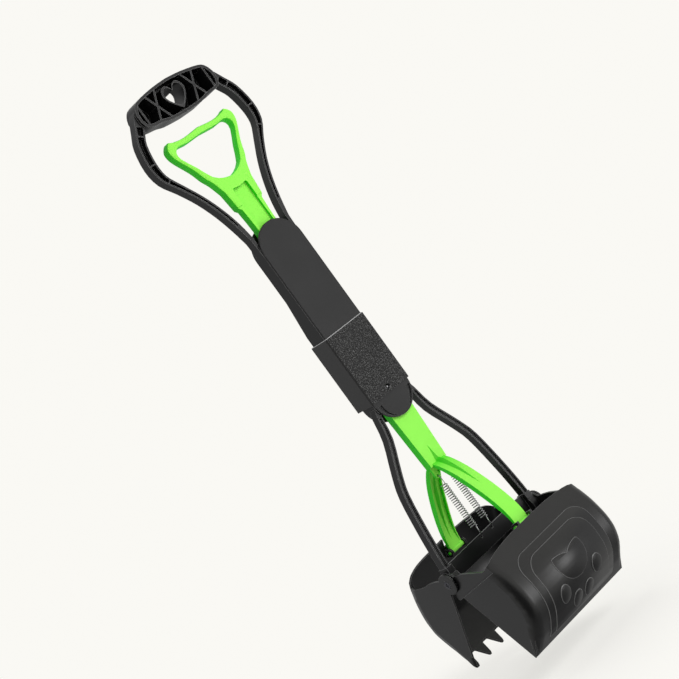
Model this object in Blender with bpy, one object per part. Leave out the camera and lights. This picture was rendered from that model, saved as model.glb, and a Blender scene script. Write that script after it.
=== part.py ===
"""A long handled yard scoop with a folding shaft, a pull trigger and two sprung jaws.

Every height is measured up the shaft from the jaw axle. The axle runs along X, the
front of the scoop faces -Y, and the shaft stands along +Z. The whole scoop hangs from
an empty that puts the world origin at the middle of the grip's underside.
"""
import math

import bmesh
import bpy
from mathutils import Vector

MM = 0.001

# Heights of the main stations above the axle
GRIP_UNDERSIDE = 550.5 * MM
GRIP_TOP = 591.5 * MM
HANDLE_FOOT = 398.0 * MM
HOUSING_TOP = 411.0 * MM
FOLD_HEIGHT = 235.0 * MM

# How far other stations lie above the fold line
DEEP_TOP_RISE = 53.0 * MM
DEEP_BOTTOM_RISE = 15.5 * MM
UPPER_RAIL_RISE = 19.0 * MM
LOW_SCREW_RISE = 33.0 * MM
WEB_FLOOR_RISE = 27.0 * MM
SLEEVE_TOP_RISE = 41.8 * MM

# How far other stations lie below the fold line
SLEEVE_DROP = 42.2 * MM
LOWER_RAIL_DROP = 6.0 * MM
TONGUE_SCREW_DROP = 27.0 * MM
ARM_START_DROP = 46.0 * MM
POCKET_TOP_DROP = 47.5 * MM
PANEL_END_DROP = 49.0 * MM
LOWER_RAIL_END_DROP = 57.0 * MM
ROD_TAPER_DROP = 67.0 * MM
TONGUE_DROP = 70.0 * MM

# How far other stations lie below the upper housing's top
TRIGGER_ROD_DROP = 3.0 * MM
UPPER_RAIL_DROP = 35.0 * MM
TOP_SCREW_DROP = 45.0 * MM

# Clearances
RUNNING_GAP = 0.35 * MM
SPLIT_GAP = 0.15 * MM
SEAT_GAP = 0.3 * MM
OVERRUN = 30.0 * MM
SHORT_OVERRUN = 3.0 * MM

# Widths across the axle, from the rear jaw's sides inwards
REAR_HALF_WIDTH = 80.0 * MM
JAW_WIDTH_STEP = 1.0 * MM
JAW_WALL = 2.3 * MM
WASHER_THICKNESS = 0.7 * MM
WASHER_CLEARANCE = 0.4 * MM
FRONT_EAR_THICKNESS = 2.5 * MM
ARM_BOSS_LENGTH = 8.6 * MM
PIVOT_BORE_END = 1.8 * MM
FRONT_HALF_WIDTH = REAR_HALF_WIDTH - JAW_WIDTH_STEP
FRONT_EAR_OUTER = REAR_HALF_WIDTH - JAW_WALL - WASHER_THICKNESS - WASHER_CLEARANCE * 2
FRONT_EAR_INNER = FRONT_EAR_OUTER - FRONT_EAR_THICKNESS
ARM_SPAN = FRONT_EAR_INNER - SEAT_GAP
ARM_END_INNER = ARM_SPAN - ARM_BOSS_LENGTH
PIVOT_SHANK_INNER = ARM_END_INNER + PIVOT_BORE_END

# Handle bow
HANDLE_HALF_WIDTH = 78.4 * MM
HANDLE_FRONT = -5.6 * MM
HANDLE_BACK = 6.0 * MM
HANDLE_THICKNESS = 10.0 * MM
HANDLE_CHANNEL_RIM = 1.7 * MM
HANDLE_CHANNEL_FLOOR = 1.5 * MM
HANDLE_CHANNEL_RIB = 1.2 * MM
# Ends of the bow's channel and the cross ribs between, up the bow's rise
BOW_RIB_SHARES = (0.875, 0.811, 0.660, 0.510, 0.130)
# Across, up, and wall thickness, as shares of half width, of the rise, of the thickness
BOW_SHARES = (
    (0.500, 0.961, 1.10),
    (0.620, 0.953, 1.12),
    (0.727, 0.915, 1.10),
    (0.841, 0.843, 1.05),
    (0.944, 0.767, 1.02),
    (1.0, 0.646, 1.0),
    (0.957, 0.545, 0.84),
    (0.800, 0.455, 0.62),
    (0.640, 0.351, 0.56),
    (0.518, 0.240, 0.56),
    (0.432, 0.129, 0.54),
    (0.374, 0.030, 0.42),
)

# Hand grip
GRIP_FRONT = -9.0 * MM
GRIP_BACK = 16.0 * MM
GRIP_WALL = 3.0 * MM
GRIP_FLOOR = 3.5 * MM
GRIP_ROUNDING = 4.0 * MM
GRIP_RIB = 2.0 * MM
GRIP_RIB_SETBACK = 1.0 * MM
GRIP_CROSS_HALF = 9.5 * MM
GRIP_CROSS_REACH = 27.0 * MM
GRIP_RIB_TRIM = 4.8 * MM
GRIP_END_RIB_REACH = 48.0 * MM
HEART_HALF_WIDTH = 13.0 * MM
HEART_WALL = 2.0 * MM
# Top line and underside of the grip, as shares of half width and of the grip's height
GRIP_TOP_SHARES = ((0.0, 1.0), (0.274, 0.965), (0.574, 0.866), (0.67, 0.74), (0.715, 0.55))
GRIP_UNDER_SHARES = (
    (0.715, 0.36), (0.68, 0.20), (0.60, 0.12), (0.421, 0.085), (0.28, 0.027), (0.0, 0.0),
)
GRIP_END_RIB_SHARES = (0.16, 0.78)
HEART_SHARES = (
    (0.0, 0.45), (0.22, 0.80), (0.55, 0.93), (0.88, 0.72), (1.0, 0.30),
    (0.82, -0.15), (0.45, -0.60), (0.0, -1.0),
)

# Upper housing
HOUSING_HALF_WIDTH = 28.6 * MM
HOUSING_WALL = 2.6 * MM
HOUSING_BACK_TOP = 10.8 * MM
HOUSING_BACK_DEEP = 17.3 * MM
HOUSING_BACK_HINGE = 13.6 * MM
HOUSING_BACK_WALL = 2.2 * MM
DEEP_TAPER = 42.0 * MM
DEEP_TOP = FOLD_HEIGHT + DEEP_TOP_RISE
DEEP_BOTTOM = FOLD_HEIGHT + DEEP_BOTTOM_RISE

# Front covers
COVER_FACE = -8.4 * MM
COVER_THICKNESS = 2.5 * MM
COVER_EDGE = 0.9 * MM

# Trigger
TRIGGER_HALF_DEPTH = 6.0 * MM
TRIGGER_BAR_TOP = 534.0 * MM
TRIGGER_HOLE_TOP = 526.0 * MM
TRIGGER_HOLE_BOTTOM = 471.5 * MM
TRIGGER_HALF_WIDTH = 48.4 * MM
TRIGGER_ROUNDING = 2.5 * MM
TRIGGER_WEB_RIM = 3.2 * MM
TRIGGER_WEB_DEPTH = 3.0 * MM
TRIGGER_WEB_TOP = 457.5 * MM
TRIGGER_ROD_TOP = HOUSING_TOP - TRIGGER_ROD_DROP
TRIGGER_WEB_FLOOR = FOLD_HEIGHT + WEB_FLOOR_RISE
# Top of the recess in the trigger's front, across and up as shares of its half width
TRIGGER_WEB_SHARES = ((0.0, 0.0), (0.45, 0.05), (0.78, 0.13), (0.94, 0.06), (1.0, -0.14))
# Outer edge below the bar, then the finger hole, across and up between rod top and bar top
TRIGGER_OUTER_SHARES = (
    (0.0, 0.985), (0.45, 0.970), (0.75, 0.985), (0.868, 1.0), (0.985, 0.955), (1.0, 0.905),
    (0.950, 0.841), (0.744, 0.698), (0.640, 0.595), (0.537, 0.524), (0.434, 0.413),
    (0.385, 0.240), (0.325, 0.215), (0.300, 0.100),
)
TRIGGER_STRAIGHT_POINTS = 3
TRIGGER_HOLE_SHARES = (
    (0.0, 0.97), (0.45, 0.95), (0.70, 0.97), (0.82, 0.90), (0.82, 0.76), (0.62, 0.47),
    (0.43, 0.17), (0.20, 0.04), (0.0, 0.0),
)

# Upper and lower pull rods
ROD_HALF_DEPTH = 5.0 * MM
UPPER_ROD_INSET = 14.6 * MM
LOWER_ROD_INSET = 12.6 * MM
UPPER_ROD_HALF_WIDTH = HOUSING_HALF_WIDTH - UPPER_ROD_INSET
LOWER_ROD_HALF_WIDTH = HOUSING_HALF_WIDTH - LOWER_ROD_INSET
ROD_FOOT_HALF_WIDTH = 12.6 * MM
ROD_FOOT = 103.0 * MM
RAIL_THICKNESS = 1.8 * MM
ROD_TAPER_START = FOLD_HEIGHT - ROD_TAPER_DROP
UPPER_RAIL_TOP = HOUSING_TOP - UPPER_RAIL_DROP
UPPER_RAIL_BOTTOM = FOLD_HEIGHT + UPPER_RAIL_RISE
LOWER_RAIL_TOP = FOLD_HEIGHT - LOWER_RAIL_DROP
LOWER_RAIL_BOTTOM = FOLD_HEIGHT - LOWER_RAIL_END_DROP

# Trigger travel from the rest pose, and how far it turns each jaw
RELEASE_TRAVEL = 28.2 * MM
SQUEEZE_TRAVEL = 4.0 * MM
JAW_REST_ANGLE = math.radians(26.0)

# Shaft fold hinge, and the rods' own hinge on the same line
FOLD_BACK = 14.5 * MM
BARREL_RADIUS = 4.0 * MM
BARREL_CLEARANCE = 0.4 * MM
BARREL_BORE = 1.8 * MM
FOLD_PIN_RADIUS = 1.5 * MM
BARREL_INNER_INSET = 11.6 * MM
BARREL_SPLIT_INSET = 7.0 * MM
BARREL_OUTER_INSET = 1.6 * MM
BARREL_INNER = HOUSING_HALF_WIDTH - BARREL_INNER_INSET
BARREL_SPLIT = HOUSING_HALF_WIDTH - BARREL_SPLIT_INSET
BARREL_OUTER = HOUSING_HALF_WIDTH - BARREL_OUTER_INSET
BARREL_SIDE_GAP = 0.3 * MM
BARREL_NECK = 8.8 * MM
BARREL_BORE_PAST = 0.5 * MM
KNUCKLE_RADIUS = 3.4 * MM
KNUCKLE_BORE = 1.5 * MM
KNUCKLE_PIN_RADIUS = 1.2 * MM
KNUCKLE_INNER = 4.7 * MM
KNUCKLE_OUTER = 8.4 * MM
KNUCKLE_SIDE_GAP = 0.3 * MM
KNUCKLE_PIN_HALF = 9.0 * MM
KNUCKLE_SLOT_HALF = 10.5 * MM
KNUCKLE_SLOT_MARGIN = 0.6 * MM

# Lock sleeve
SLEEVE_BOTTOM = FOLD_HEIGHT - SLEEVE_DROP
SLEEVE_TOP = FOLD_HEIGHT + SLEEVE_TOP_RISE
SLEEVE_WALL = 1.5 * MM
SLEEVE_BACK = 19.6 * MM
SLEEVE_LIP_FRONT = 17.8 * MM
SLEEVE_LIP_INSET = 4.6 * MM
SLEEVE_LIP_REACH = HOUSING_HALF_WIDTH - SLEEVE_LIP_INSET
SLEEVE_LIP_HEIGHT = 26.0 * MM
SLEEVE_EDGE = 0.7 * MM
SLEEVE_CORNER = 1.6 * MM

# Detent ball, its spring and the boss that holds them
DETENT_RISE = 5.9 * MM
DETENT_HEIGHT = SLEEVE_BOTTOM + DETENT_RISE
DETENT_RADIUS = 2.5 * MM
DETENT_PROUD = 0.75 * MM
DETENT_HOLE = 3.0 * MM
DETENT_BORE = 2.8 * MM
DETENT_BOSS = 4.4 * MM
DETENT_BOSS_BACK = 0.9 * MM
DETENT_FLOOR = 1.0 * MM
DETENT_COIL_RADIUS = 1.6 * MM
DETENT_COIL_WIRE = 0.24 * MM
DETENT_COIL_TURNS = 3
DETENT_TRAVEL = 1.0 * MM
DETENT_GROOVE_HALF = 5.0 * MM
DETENT_GROOVE_DEPTH = 6.6 * MM
DETENT_GROOVE_DROP = 13.7 * MM
DETENT_GROOVE_RISE = 34.3 * MM

# Cover screws
SCREW_HEAD_RADIUS = 2.9 * MM
SCREW_HEAD_HEIGHT = 1.1 * MM
SCREW_SHANK_RADIUS = 1.3 * MM
SCREW_HOLE = 1.6 * MM
SCREW_BOSS = 2.9 * MM
SCREW_RECESS = 3.2 * MM
SCREW_RECESS_DEPTH = 1.3 * MM
SCREW_REACH = 9.0 * MM
SCREW_INSET = 7.0 * MM
SCREW_SIDE = HOUSING_HALF_WIDTH - SCREW_INSET
SCREW_SLOT_SHARE = 0.6
UPPER_SCREW_HEIGHTS = (HOUSING_TOP - TOP_SCREW_DROP, FOLD_HEIGHT + LOW_SCREW_RISE)
LOWER_SCREW_HEIGHT = FOLD_HEIGHT - TONGUE_SCREW_DROP

# Lower frame
TONGUE_INSET = 0.6 * MM
TONGUE_HALF_WIDTH = HOUSING_HALF_WIDTH - TONGUE_INSET
TONGUE_BACK = 14.0 * MM
TONGUE_WALL = 2.4 * MM
TONGUE_PANEL_INSET = 8.4 * MM
TONGUE_PANEL_HALF = TONGUE_HALF_WIDTH - TONGUE_PANEL_INSET
TONGUE_PANEL_TURN = -60.0
TONGUE_PANEL_STEPS = 8
TONGUE_BOTTOM = FOLD_HEIGHT - TONGUE_DROP
TONGUE_PANEL_END = FOLD_HEIGHT - PANEL_END_DROP
TONGUE_POCKET_TOP = FOLD_HEIGHT - POCKET_TOP_DROP
TONGUE_POCKET_RIM = 1.8 * MM
TONGUE_POCKET_DEPTH = 1.7 * MM
ARM_HALF_DEPTH = 5.0 * MM
ARM_THICKNESS = 7.0 * MM
ARM_START = FOLD_HEIGHT - ARM_START_DROP
ARM_CHANNEL_RIM = 1.5 * MM
ARM_CHANNEL_DEPTH = 2.2 * MM
# Outer edge of an arm, across from tongue to axle end, up from the axle, and thickness
ARM_SHARES = (
    (0.0, 0.995, 0.62), (0.066, 0.950, 0.80), (0.198, 0.820, 1.0), (0.551, 0.646, 1.0),
    (0.749, 0.524, 1.0), (0.892, 0.323, 1.0), (0.969, 0.169, 1.0), (1.0, 0.060, 1.0),
    (1.0, 0.0, 1.0),
)
ARM_END_RADIUS = 10.0 * MM
ARM_SHOULDER_TOP = 15.5 * MM
ARM_SHOULDER_HALF = 7.0 * MM
PLATE_BOTTOM = -3.0 * MM
PLATE_TOP = 16.0 * MM
PLATE_HALF_THICKNESS = 1.0 * MM
PLATE_HOLE_HEIGHT = 12.5 * MM
PLATE_HOLE = 1.5 * MM

# Green fork
LEG_HALF_WIDTH = 9.3 * MM
LEG_THICKNESS = 3.0 * MM
LEG_FLANGE = 1.6 * MM
LEG_FLANGE_DEPTH = 5.5 * MM
LEG_REACH = 60.7 * MM
FOOT_PIN_HEIGHT = 8.5 * MM
FOOT_PIN_RADIUS = 1.8 * MM
FOOT_PIN_HALF = 12.8 * MM
FOOT_RADIUS = 2.9 * MM
# Middle line of a leg from crotch to foot, out and up between the foot pin and rod foot
LEG_SHARES = (
    (0.02, 1.02), (0.20, 0.955), (0.45, 0.79), (0.69, 0.565), (0.875, 0.345), (0.98, 0.16),
    (1.0, 0.0),
)

# Return springs between the fork's eyes and the cross plate
SPRING_SIDE = 9.0 * MM
SPRING_RADIUS = 3.45 * MM
SPRING_WIRE_RADIUS = 0.55 * MM
SPRING_TURNS = 21
SPRING_POINTS_PER_TURN = 7
SPRING_COIL_BOTTOM = 25.0 * MM
SPRING_COIL_TOP = 81.0 * MM
SPRING_HOOK_BACK = 3.2 * MM
SPRING_HOOK_FRONT = -3.0 * MM
EYE_HEIGHT = 92.0 * MM
EYE_HOLE = 1.5 * MM
EYE_HALF_WIDTH = 3.2 * MM
EYE_HALF_THICKNESS = 1.2 * MM
EYE_ROOT = 4.0 * MM

# Jaws, measured shut, with the mating plane through the axle
JAW_DEPTH = 116.0 * MM
JAW_REACH = 68.0 * MM
JAW_MATING_GAP = 0.25 * MM
JAW_CORNER = 12.0 * MM
JAW_CORNER_FADE = 26.0 * MM
JAW_CORNER_STEPS = 3
JAW_EAR_RADIUS = 12.0 * MM
JAW_EAR_ROUNDING = 0.8 * MM
JAW_EAR_BORE = 2.7 * MM
STEP_LEDGE = 2.4 * MM
# Where the front jaw's ear plate leaves and meets the ear's round, in degrees
EAR_ARC_TURNS = (205.0, 25.0)
# How far out the side walls' top cut ends, and the rim's cut begins
SIDE_CUT_SHARES = (0.92, 0.87)
# Outer wall from rim to lip, out from the mating plane and down from the axle
FRONT_WALL_SHARES = (
    (0.985, -0.150), (0.992, -0.26), (1.0, -0.38), (0.985, -0.50), (0.920, -0.66),
    (0.800, -0.79), (0.615, -0.882), (0.325, -0.957), (0.0037, -1.0),
)
REAR_WALL_SHARES = (
    (0.980, -0.020), (0.985, -0.12), (0.978, -0.25), (0.960, -0.37), (0.900, -0.52),
    (0.815, -0.625), (0.700, -0.715), (0.380, -0.850), (0.08, -0.925), (0.0037, -0.940),
)
# Top edge of the side walls from ear to rim, in the same shares
FRONT_SIDE_TOP_SHARES = ((0.19, -0.005), (0.42, -0.077), (0.73, -0.213), (0.84, -0.236), (1.2, -0.236))
REAR_SIDE_TOP_SHARES = (
    (0.19, 0.015), (0.41, -0.039), (0.52, -0.087), (0.72, -0.140), (0.84, -0.158), (1.2, -0.160),
)
# Rim of the outer wall from the middle to the corner, across, and up as a share of depth
FRONT_RIM_SHARES = (
    (0.0, -0.176), (0.40, -0.181), (0.75, -0.205), (0.90, -0.232), (0.96, -0.236), (1.02, -0.236),
)
REAR_RIM_SHARES = (
    (0.0, -0.022), (0.55, -0.042), (0.75, -0.066), (0.88, -0.112), (0.96, -0.155), (1.02, -0.160),
)
STEP_LINE_SHARES = ((-0.22, -0.148), (1.2, -0.353))
LEG_NOTCH_HALF = 10.6 * MM
LEG_NOTCH_BOTTOM = -13.0 * MM

# Bearing ears for the fork's feet, inside each jaw
FOOT_EAR_INNER = 9.8 * MM
FOOT_EAR_THICKNESS = 2.4 * MM
FOOT_SLOT_HALF = 2.5 * MM
FOOT_SLOT_REACH = 5.6 * MM
FOOT_EAR_WALL = 2.2 * MM

# Teeth
TOOTH_COUNT = 8
TOOTH_PITCH = 21.5 * MM
TOOTH_LENGTH = 16.0 * MM
TOOTH_ROOT_WIDTH = 13.0 * MM
TOOTH_ROOT_ROUNDING = 1.5 * MM
TOOTH_TIP_RADIUS = 2.2 * MM
TOOTH_CORNER = 4.0 * MM

# Jaw pivots
PIVOT_HEAD_RADIUS = 4.4 * MM
PIVOT_HEAD_HEIGHT = 1.1 * MM
PIVOT_RECESS_RADIUS = 4.8 * MM
PIVOT_RECESS_DEPTH = 1.3 * MM
PIVOT_SHANK_RADIUS = 2.4 * MM
WASHER_RADIUS = 8.0 * MM

ROUND_SIDES = 24
SMALL_SIDES = 12

BLACK = (0.028, 0.028, 0.030, 1.0)
GREEN = (0.110, 0.640, 0.040, 1.0)
STEEL = (0.620, 0.620, 0.640, 1.0)
DARK_STEEL = (0.180, 0.180, 0.190, 1.0)


def clear_scene():
    """Take away whatever the scene holds."""
    for old in list(bpy.data.objects):
        bpy.data.objects.remove(old, do_unlink=True)


def make_material(name, colour, roughness, metallic):
    """Give a plain surface of one colour."""
    material = bpy.data.materials.new(name)
    material.use_nodes = True
    shader = material.node_tree.nodes["Principled BSDF"]
    shader.inputs["Base Color"].default_value = colour
    shader.inputs["Roughness"].default_value = roughness
    shader.inputs["Metallic"].default_value = metallic
    return material


class Frame:
    """An empty that pieces hang from, with its place in the shaft's coordinates."""

    def __init__(self, name, place, parent=None, tilt=0.0):
        self.place = Vector(place)
        self.empty = bpy.data.objects.new(name, None)
        bpy.context.collection.objects.link(self.empty)
        if parent is None:
            self.empty.location = self.place
            self.place = Vector((0.0, 0.0, 0.0))
        else:
            self.empty.parent = parent.empty
            self.empty.location = self.place - parent.place
        self.empty.rotation_euler = (tilt, 0.0, 0.0)

    def add(self, name, form, material=None):
        """Turn a mesh drawn in shaft coordinates into an object of this frame."""
        bmesh.ops.translate(form, verts=form.verts, vec=-self.place)
        bmesh.ops.recalc_face_normals(form, faces=form.faces)
        mesh = bpy.data.meshes.new(name)
        form.to_mesh(mesh)
        form.free()
        piece = bpy.data.objects.new(name, mesh)
        bpy.context.collection.objects.link(piece)
        piece.parent = self.empty
        if material:
            mesh.materials.append(material)
            mesh.shade_smooth()
            mesh.set_sharp_from_angle(angle=math.radians(32.0))
        return piece

    def combine(self, piece, form, operation, solver="EXACT"):
        """Cut a form out of a piece, or fuse it on."""
        tool = self.add(piece.name + "_" + operation.lower(), form)
        tool.hide_render = True
        tool.display_type = "WIRE"
        step = piece.modifiers.new(operation.lower(), "BOOLEAN")
        step.operation = operation
        step.solver = solver
        step.object = tool

    def cut(self, piece, *forms):
        """Cut each form out of a piece."""
        for form in forms:
            self.combine(piece, form, "DIFFERENCE")

    def fuse(self, piece, *forms):
        """Fuse each form to a piece."""
        for form in forms:
            self.combine(piece, form, "UNION")


def loft(rings, axis):
    """Skin closed outlines, each with its own level along X, Y or Z, and close both ends."""
    places = {
        "X": lambda a, b, level: (level, a, b),
        "Y": lambda a, b, level: (a, level, b),
        "Z": lambda a, b, level: (a, b, level),
    }
    put = places[axis]
    form = bmesh.new()
    rows = [[form.verts.new(put(a, b, level)) for a, b in outline] for level, outline in rings]
    form.faces.new(rows[0])
    form.faces.new(list(reversed(rows[-1])))
    count = len(rows[0])
    for near, far in zip(rows, rows[1:]):
        for index in range(count):
            after = (index + 1) % count
            form.faces.new((near[index], far[index], far[after], near[after]))
    bmesh.ops.recalc_face_normals(form, faces=form.faces)
    return form


def prism(outline, axis, low, high):
    """Extrude a closed outline along X, Y or Z between two planes."""
    return loft(((low, outline), (high, outline)), axis)


def rounded_rings(outline, low, high, radius, steps):
    """Outlines for a bar whose rims are rounded; a negative radius flares a cutter instead."""
    rings = []
    for step in range(steps + 1):
        angle = math.pi / 2 * step / steps
        drawn = inset(outline, radius * (1 - math.sin(angle)))
        rings.append((abs(radius) * (1 - math.cos(angle)), drawn))
    return ([(low + level, drawn) for level, drawn in rings]
            + [(high - level, drawn) for level, drawn in reversed(rings)])


def block(x_low, x_high, y_low, y_high, z_low, z_high):
    """A box between two corners."""
    outline = ((x_low, y_low), (x_high, y_low), (x_high, y_high), (x_low, y_high))
    return prism(outline, "Z", z_low, z_high)


def circle(across, up, radius, sides):
    """The outline of a round."""
    turn = math.tau / sides
    return [(across + radius * math.cos(turn * step), up + radius * math.sin(turn * step))
            for step in range(sides)]


def arc(across, up, radius, start, end, steps):
    """Points along an arc between two angles in degrees."""
    points = []
    for step in range(steps + 1):
        angle = math.radians(start + (end - start) * step / steps)
        points.append((across + radius * math.cos(angle), up + radius * math.sin(angle)))
    return points


def rod(across, up, radius, axis, low, high, sides=SMALL_SIDES):
    """A round bar along an axis."""
    return prism(circle(across, up, radius, sides), axis, low, high)


def soften(form, width, segments, chosen):
    """Round the edges of a form that a test picks."""
    edges = [edge for edge in form.edges if chosen(edge)]
    bmesh.ops.bevel(form, geom=edges, offset=width, offset_type="OFFSET", segments=segments,
                    profile=0.5, affect="EDGES", clamp_overlap=True)
    return form


def scaled(shares, width, rise, base=0.0):
    """Turn shares into sizes."""
    return [(across * width, base + up * rise) for across, up in shares]


def flow(points, steps):
    """A smooth line through chosen points, with a few points between each pair."""
    line = []
    for index in range(len(points) - 1):
        before = Vector(points[max(index - 1, 0)])
        start = Vector(points[index])
        end = Vector(points[index + 1])
        after = Vector(points[min(index + 2, len(points) - 1)])
        for step in range(steps):
            t = step / steps
            place = (2 * start + (end - before) * t
                     + (2 * before - 5 * start + 4 * end - after) * t ** 2
                     + (3 * start - before - 3 * end + after) * t ** 3) / 2
            line.append(tuple(place))
    line.append(tuple(points[-1]))
    return line


def offset(line, distances):
    """Shift an open line to its right hand side by a distance given for each point."""
    shifted = []
    for index, point in enumerate(line):
        before = Vector(line[max(index - 1, 0)][:2])
        after = Vector(line[min(index + 1, len(line) - 1)][:2])
        along = (after - before).normalized()
        side = Vector((along.y, -along.x))
        place = Vector(point[:2]) + side * distances[index]
        shifted.append((place.x, place.y))
    return shifted


def inset(outline, distance):
    """Shrink a closed outline, drawn either way round, by one distance."""
    count = len(outline)
    area = sum(outline[i - 1][0] * outline[i][1] - outline[i][0] * outline[i - 1][1]
               for i in range(count))
    turn = 1.0 if area > 0 else -1.0
    shrunk = []
    for index in range(count):
        here = Vector(outline[index])
        back = (here - Vector(outline[index - 1])).normalized()
        ahead = (Vector(outline[(index + 1) % count]) - here).normalized()
        side_back = Vector((-back.y, back.x)) * turn
        side_ahead = Vector((-ahead.y, ahead.x)) * turn
        middle = (side_back + side_ahead).normalized()
        reach = distance / max(middle.dot(side_ahead), 0.4)
        shrunk.append(tuple(here + middle * reach))
    return shrunk


def turned(outline, turn):
    """The outline as it stands, or flipped to the other side of the middle."""
    return [(turn * across, up) for across, up in outline]


def trimmed(line, distance):
    """An open line with both its ends drawn in."""
    first, last = Vector(line[0]), Vector(line[-1])
    start = first + (Vector(line[1]) - first).normalized() * distance
    end = last + (Vector(line[-2]) - last).normalized() * distance
    return [tuple(start)] + list(line[1:-1]) + [tuple(end)]


def mirrored(outline):
    """The same outline on the other side of the middle."""
    return [(-across, up) for across, up in reversed(outline)]


def both_sides(half):
    """Close an outline whose right half runs from the top middle to the bottom middle."""
    left = [point for point in mirrored(half) if abs(point[0]) > 0.0]
    return list(half) + left


def bow_lines():
    """Outer and inner edge of the right half of the handle bow."""
    rise = GRIP_TOP - HANDLE_FOOT
    table = [(a * HANDLE_HALF_WIDTH, HANDLE_FOOT + u * rise, t * HANDLE_THICKNESS)
             for a, u, t in BOW_SHARES]
    line = flow(table, 3)
    outer = [(point[0], point[1]) for point in line]
    inner = offset(line, [point[2] for point in line])
    return outer, inner


def grip_outline():
    """Right half of the grip, from the top middle down to the underside's middle."""
    height = GRIP_TOP - GRIP_UNDERSIDE
    top = flow(scaled(GRIP_TOP_SHARES, HANDLE_HALF_WIDTH, height, GRIP_UNDERSIDE), 3)
    under = flow(scaled(GRIP_UNDER_SHARES, HANDLE_HALF_WIDTH, height, GRIP_UNDERSIDE), 3)
    return top + under


def handle_bow():
    """The bow as one horseshoe, its ends joined by a strip inside the grip."""
    outer, inner = bow_lines()
    foot = HANDLE_FOOT - HOUSING_HALF_WIDTH
    within = HOUSING_WALL / 4
    right = [(0.0, outer[0][1])] + outer
    right += [(HOUSING_HALF_WIDTH - within, foot), (HOUSING_HALF_WIDTH - HOUSING_WALL + within, foot)]
    right += list(reversed(inner)) + [(0.0, inner[0][1])]
    return prism(both_sides(right), "Y", HANDLE_FRONT + SPLIT_GAP, HANDLE_BACK)


def bow_channels():
    """Pockets down the front of each side of the bow, with thin cross ribs between them."""
    outer, inner = bow_lines()
    count = len(outer)
    near = offset(outer, [HANDLE_CHANNEL_RIM] * count)
    far = offset(inner, [-HANDLE_CHANNEL_RIM] * count)
    heights = [HANDLE_FOOT + share * (GRIP_TOP - HANDLE_FOOT) for share in BOW_RIB_SHARES]
    breaks = [min(range(count), key=lambda index: abs(outer[index][1] - height)) for height in heights]
    pockets = []
    for start, end in zip(breaks, breaks[1:]):
        pocket = trimmed(near[start:end + 1], HANDLE_CHANNEL_RIB / 2)
        pocket += list(reversed(trimmed(far[start:end + 1], HANDLE_CHANNEL_RIB / 2)))
        for side in (1, -1):
            pockets.append(prism(turned(pocket, side), "Y", HANDLE_FRONT - OVERRUN, HANDLE_CHANNEL_FLOOR))
    return pockets


def grip_body():
    """The grip's block, rounded where the palm lies."""
    form = prism(both_sides(grip_outline()), "Y", GRIP_FRONT, GRIP_BACK)
    middle = (GRIP_FRONT + GRIP_BACK) / 2
    return soften(form, GRIP_ROUNDING, 2, lambda edge: all(v.co.y > middle for v in edge.verts))


def heart_outline(size):
    """A heart about the grip's middle."""
    centre = (GRIP_TOP + GRIP_UNDERSIDE) / 2
    half = flow(scaled(HEART_SHARES, size, size, centre), 2)
    return both_sides(half)


def grip_ribs():
    """Ribs across the grip's tray: a cross on each side, and a bar beyond it."""
    height = (GRIP_TOP - GRIP_UNDERSIDE) / 2
    low, high = [GRIP_UNDERSIDE + share * height * 2 for share in GRIP_END_RIB_SHARES]
    centre = (GRIP_TOP + GRIP_UNDERSIDE) / 2
    front = GRIP_FRONT + GRIP_RIB_SETBACK
    back = GRIP_BACK - GRIP_FLOOR
    forms = []
    for side in (-1, 1):
        for slope in (-1, 1):
            start = Vector((side * GRIP_CROSS_REACH - GRIP_CROSS_HALF, centre - slope * height))
            end = Vector((side * GRIP_CROSS_REACH + GRIP_CROSS_HALF, centre + slope * height))
            along = (end - start).normalized()
            start = start + along * GRIP_RIB_TRIM
            end = end - along * GRIP_RIB_TRIM
            across = Vector((-along.y, along.x)) * GRIP_RIB / 2
            bar = [tuple(start + across), tuple(start - across),
                   tuple(end - across), tuple(end + across)]
            forms.append(prism(bar, "Y", front, back))
        middle = side * GRIP_END_RIB_REACH
        forms.append(block(middle - GRIP_RIB / 2, middle + GRIP_RIB / 2, front, back, low, high))
    return forms


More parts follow.
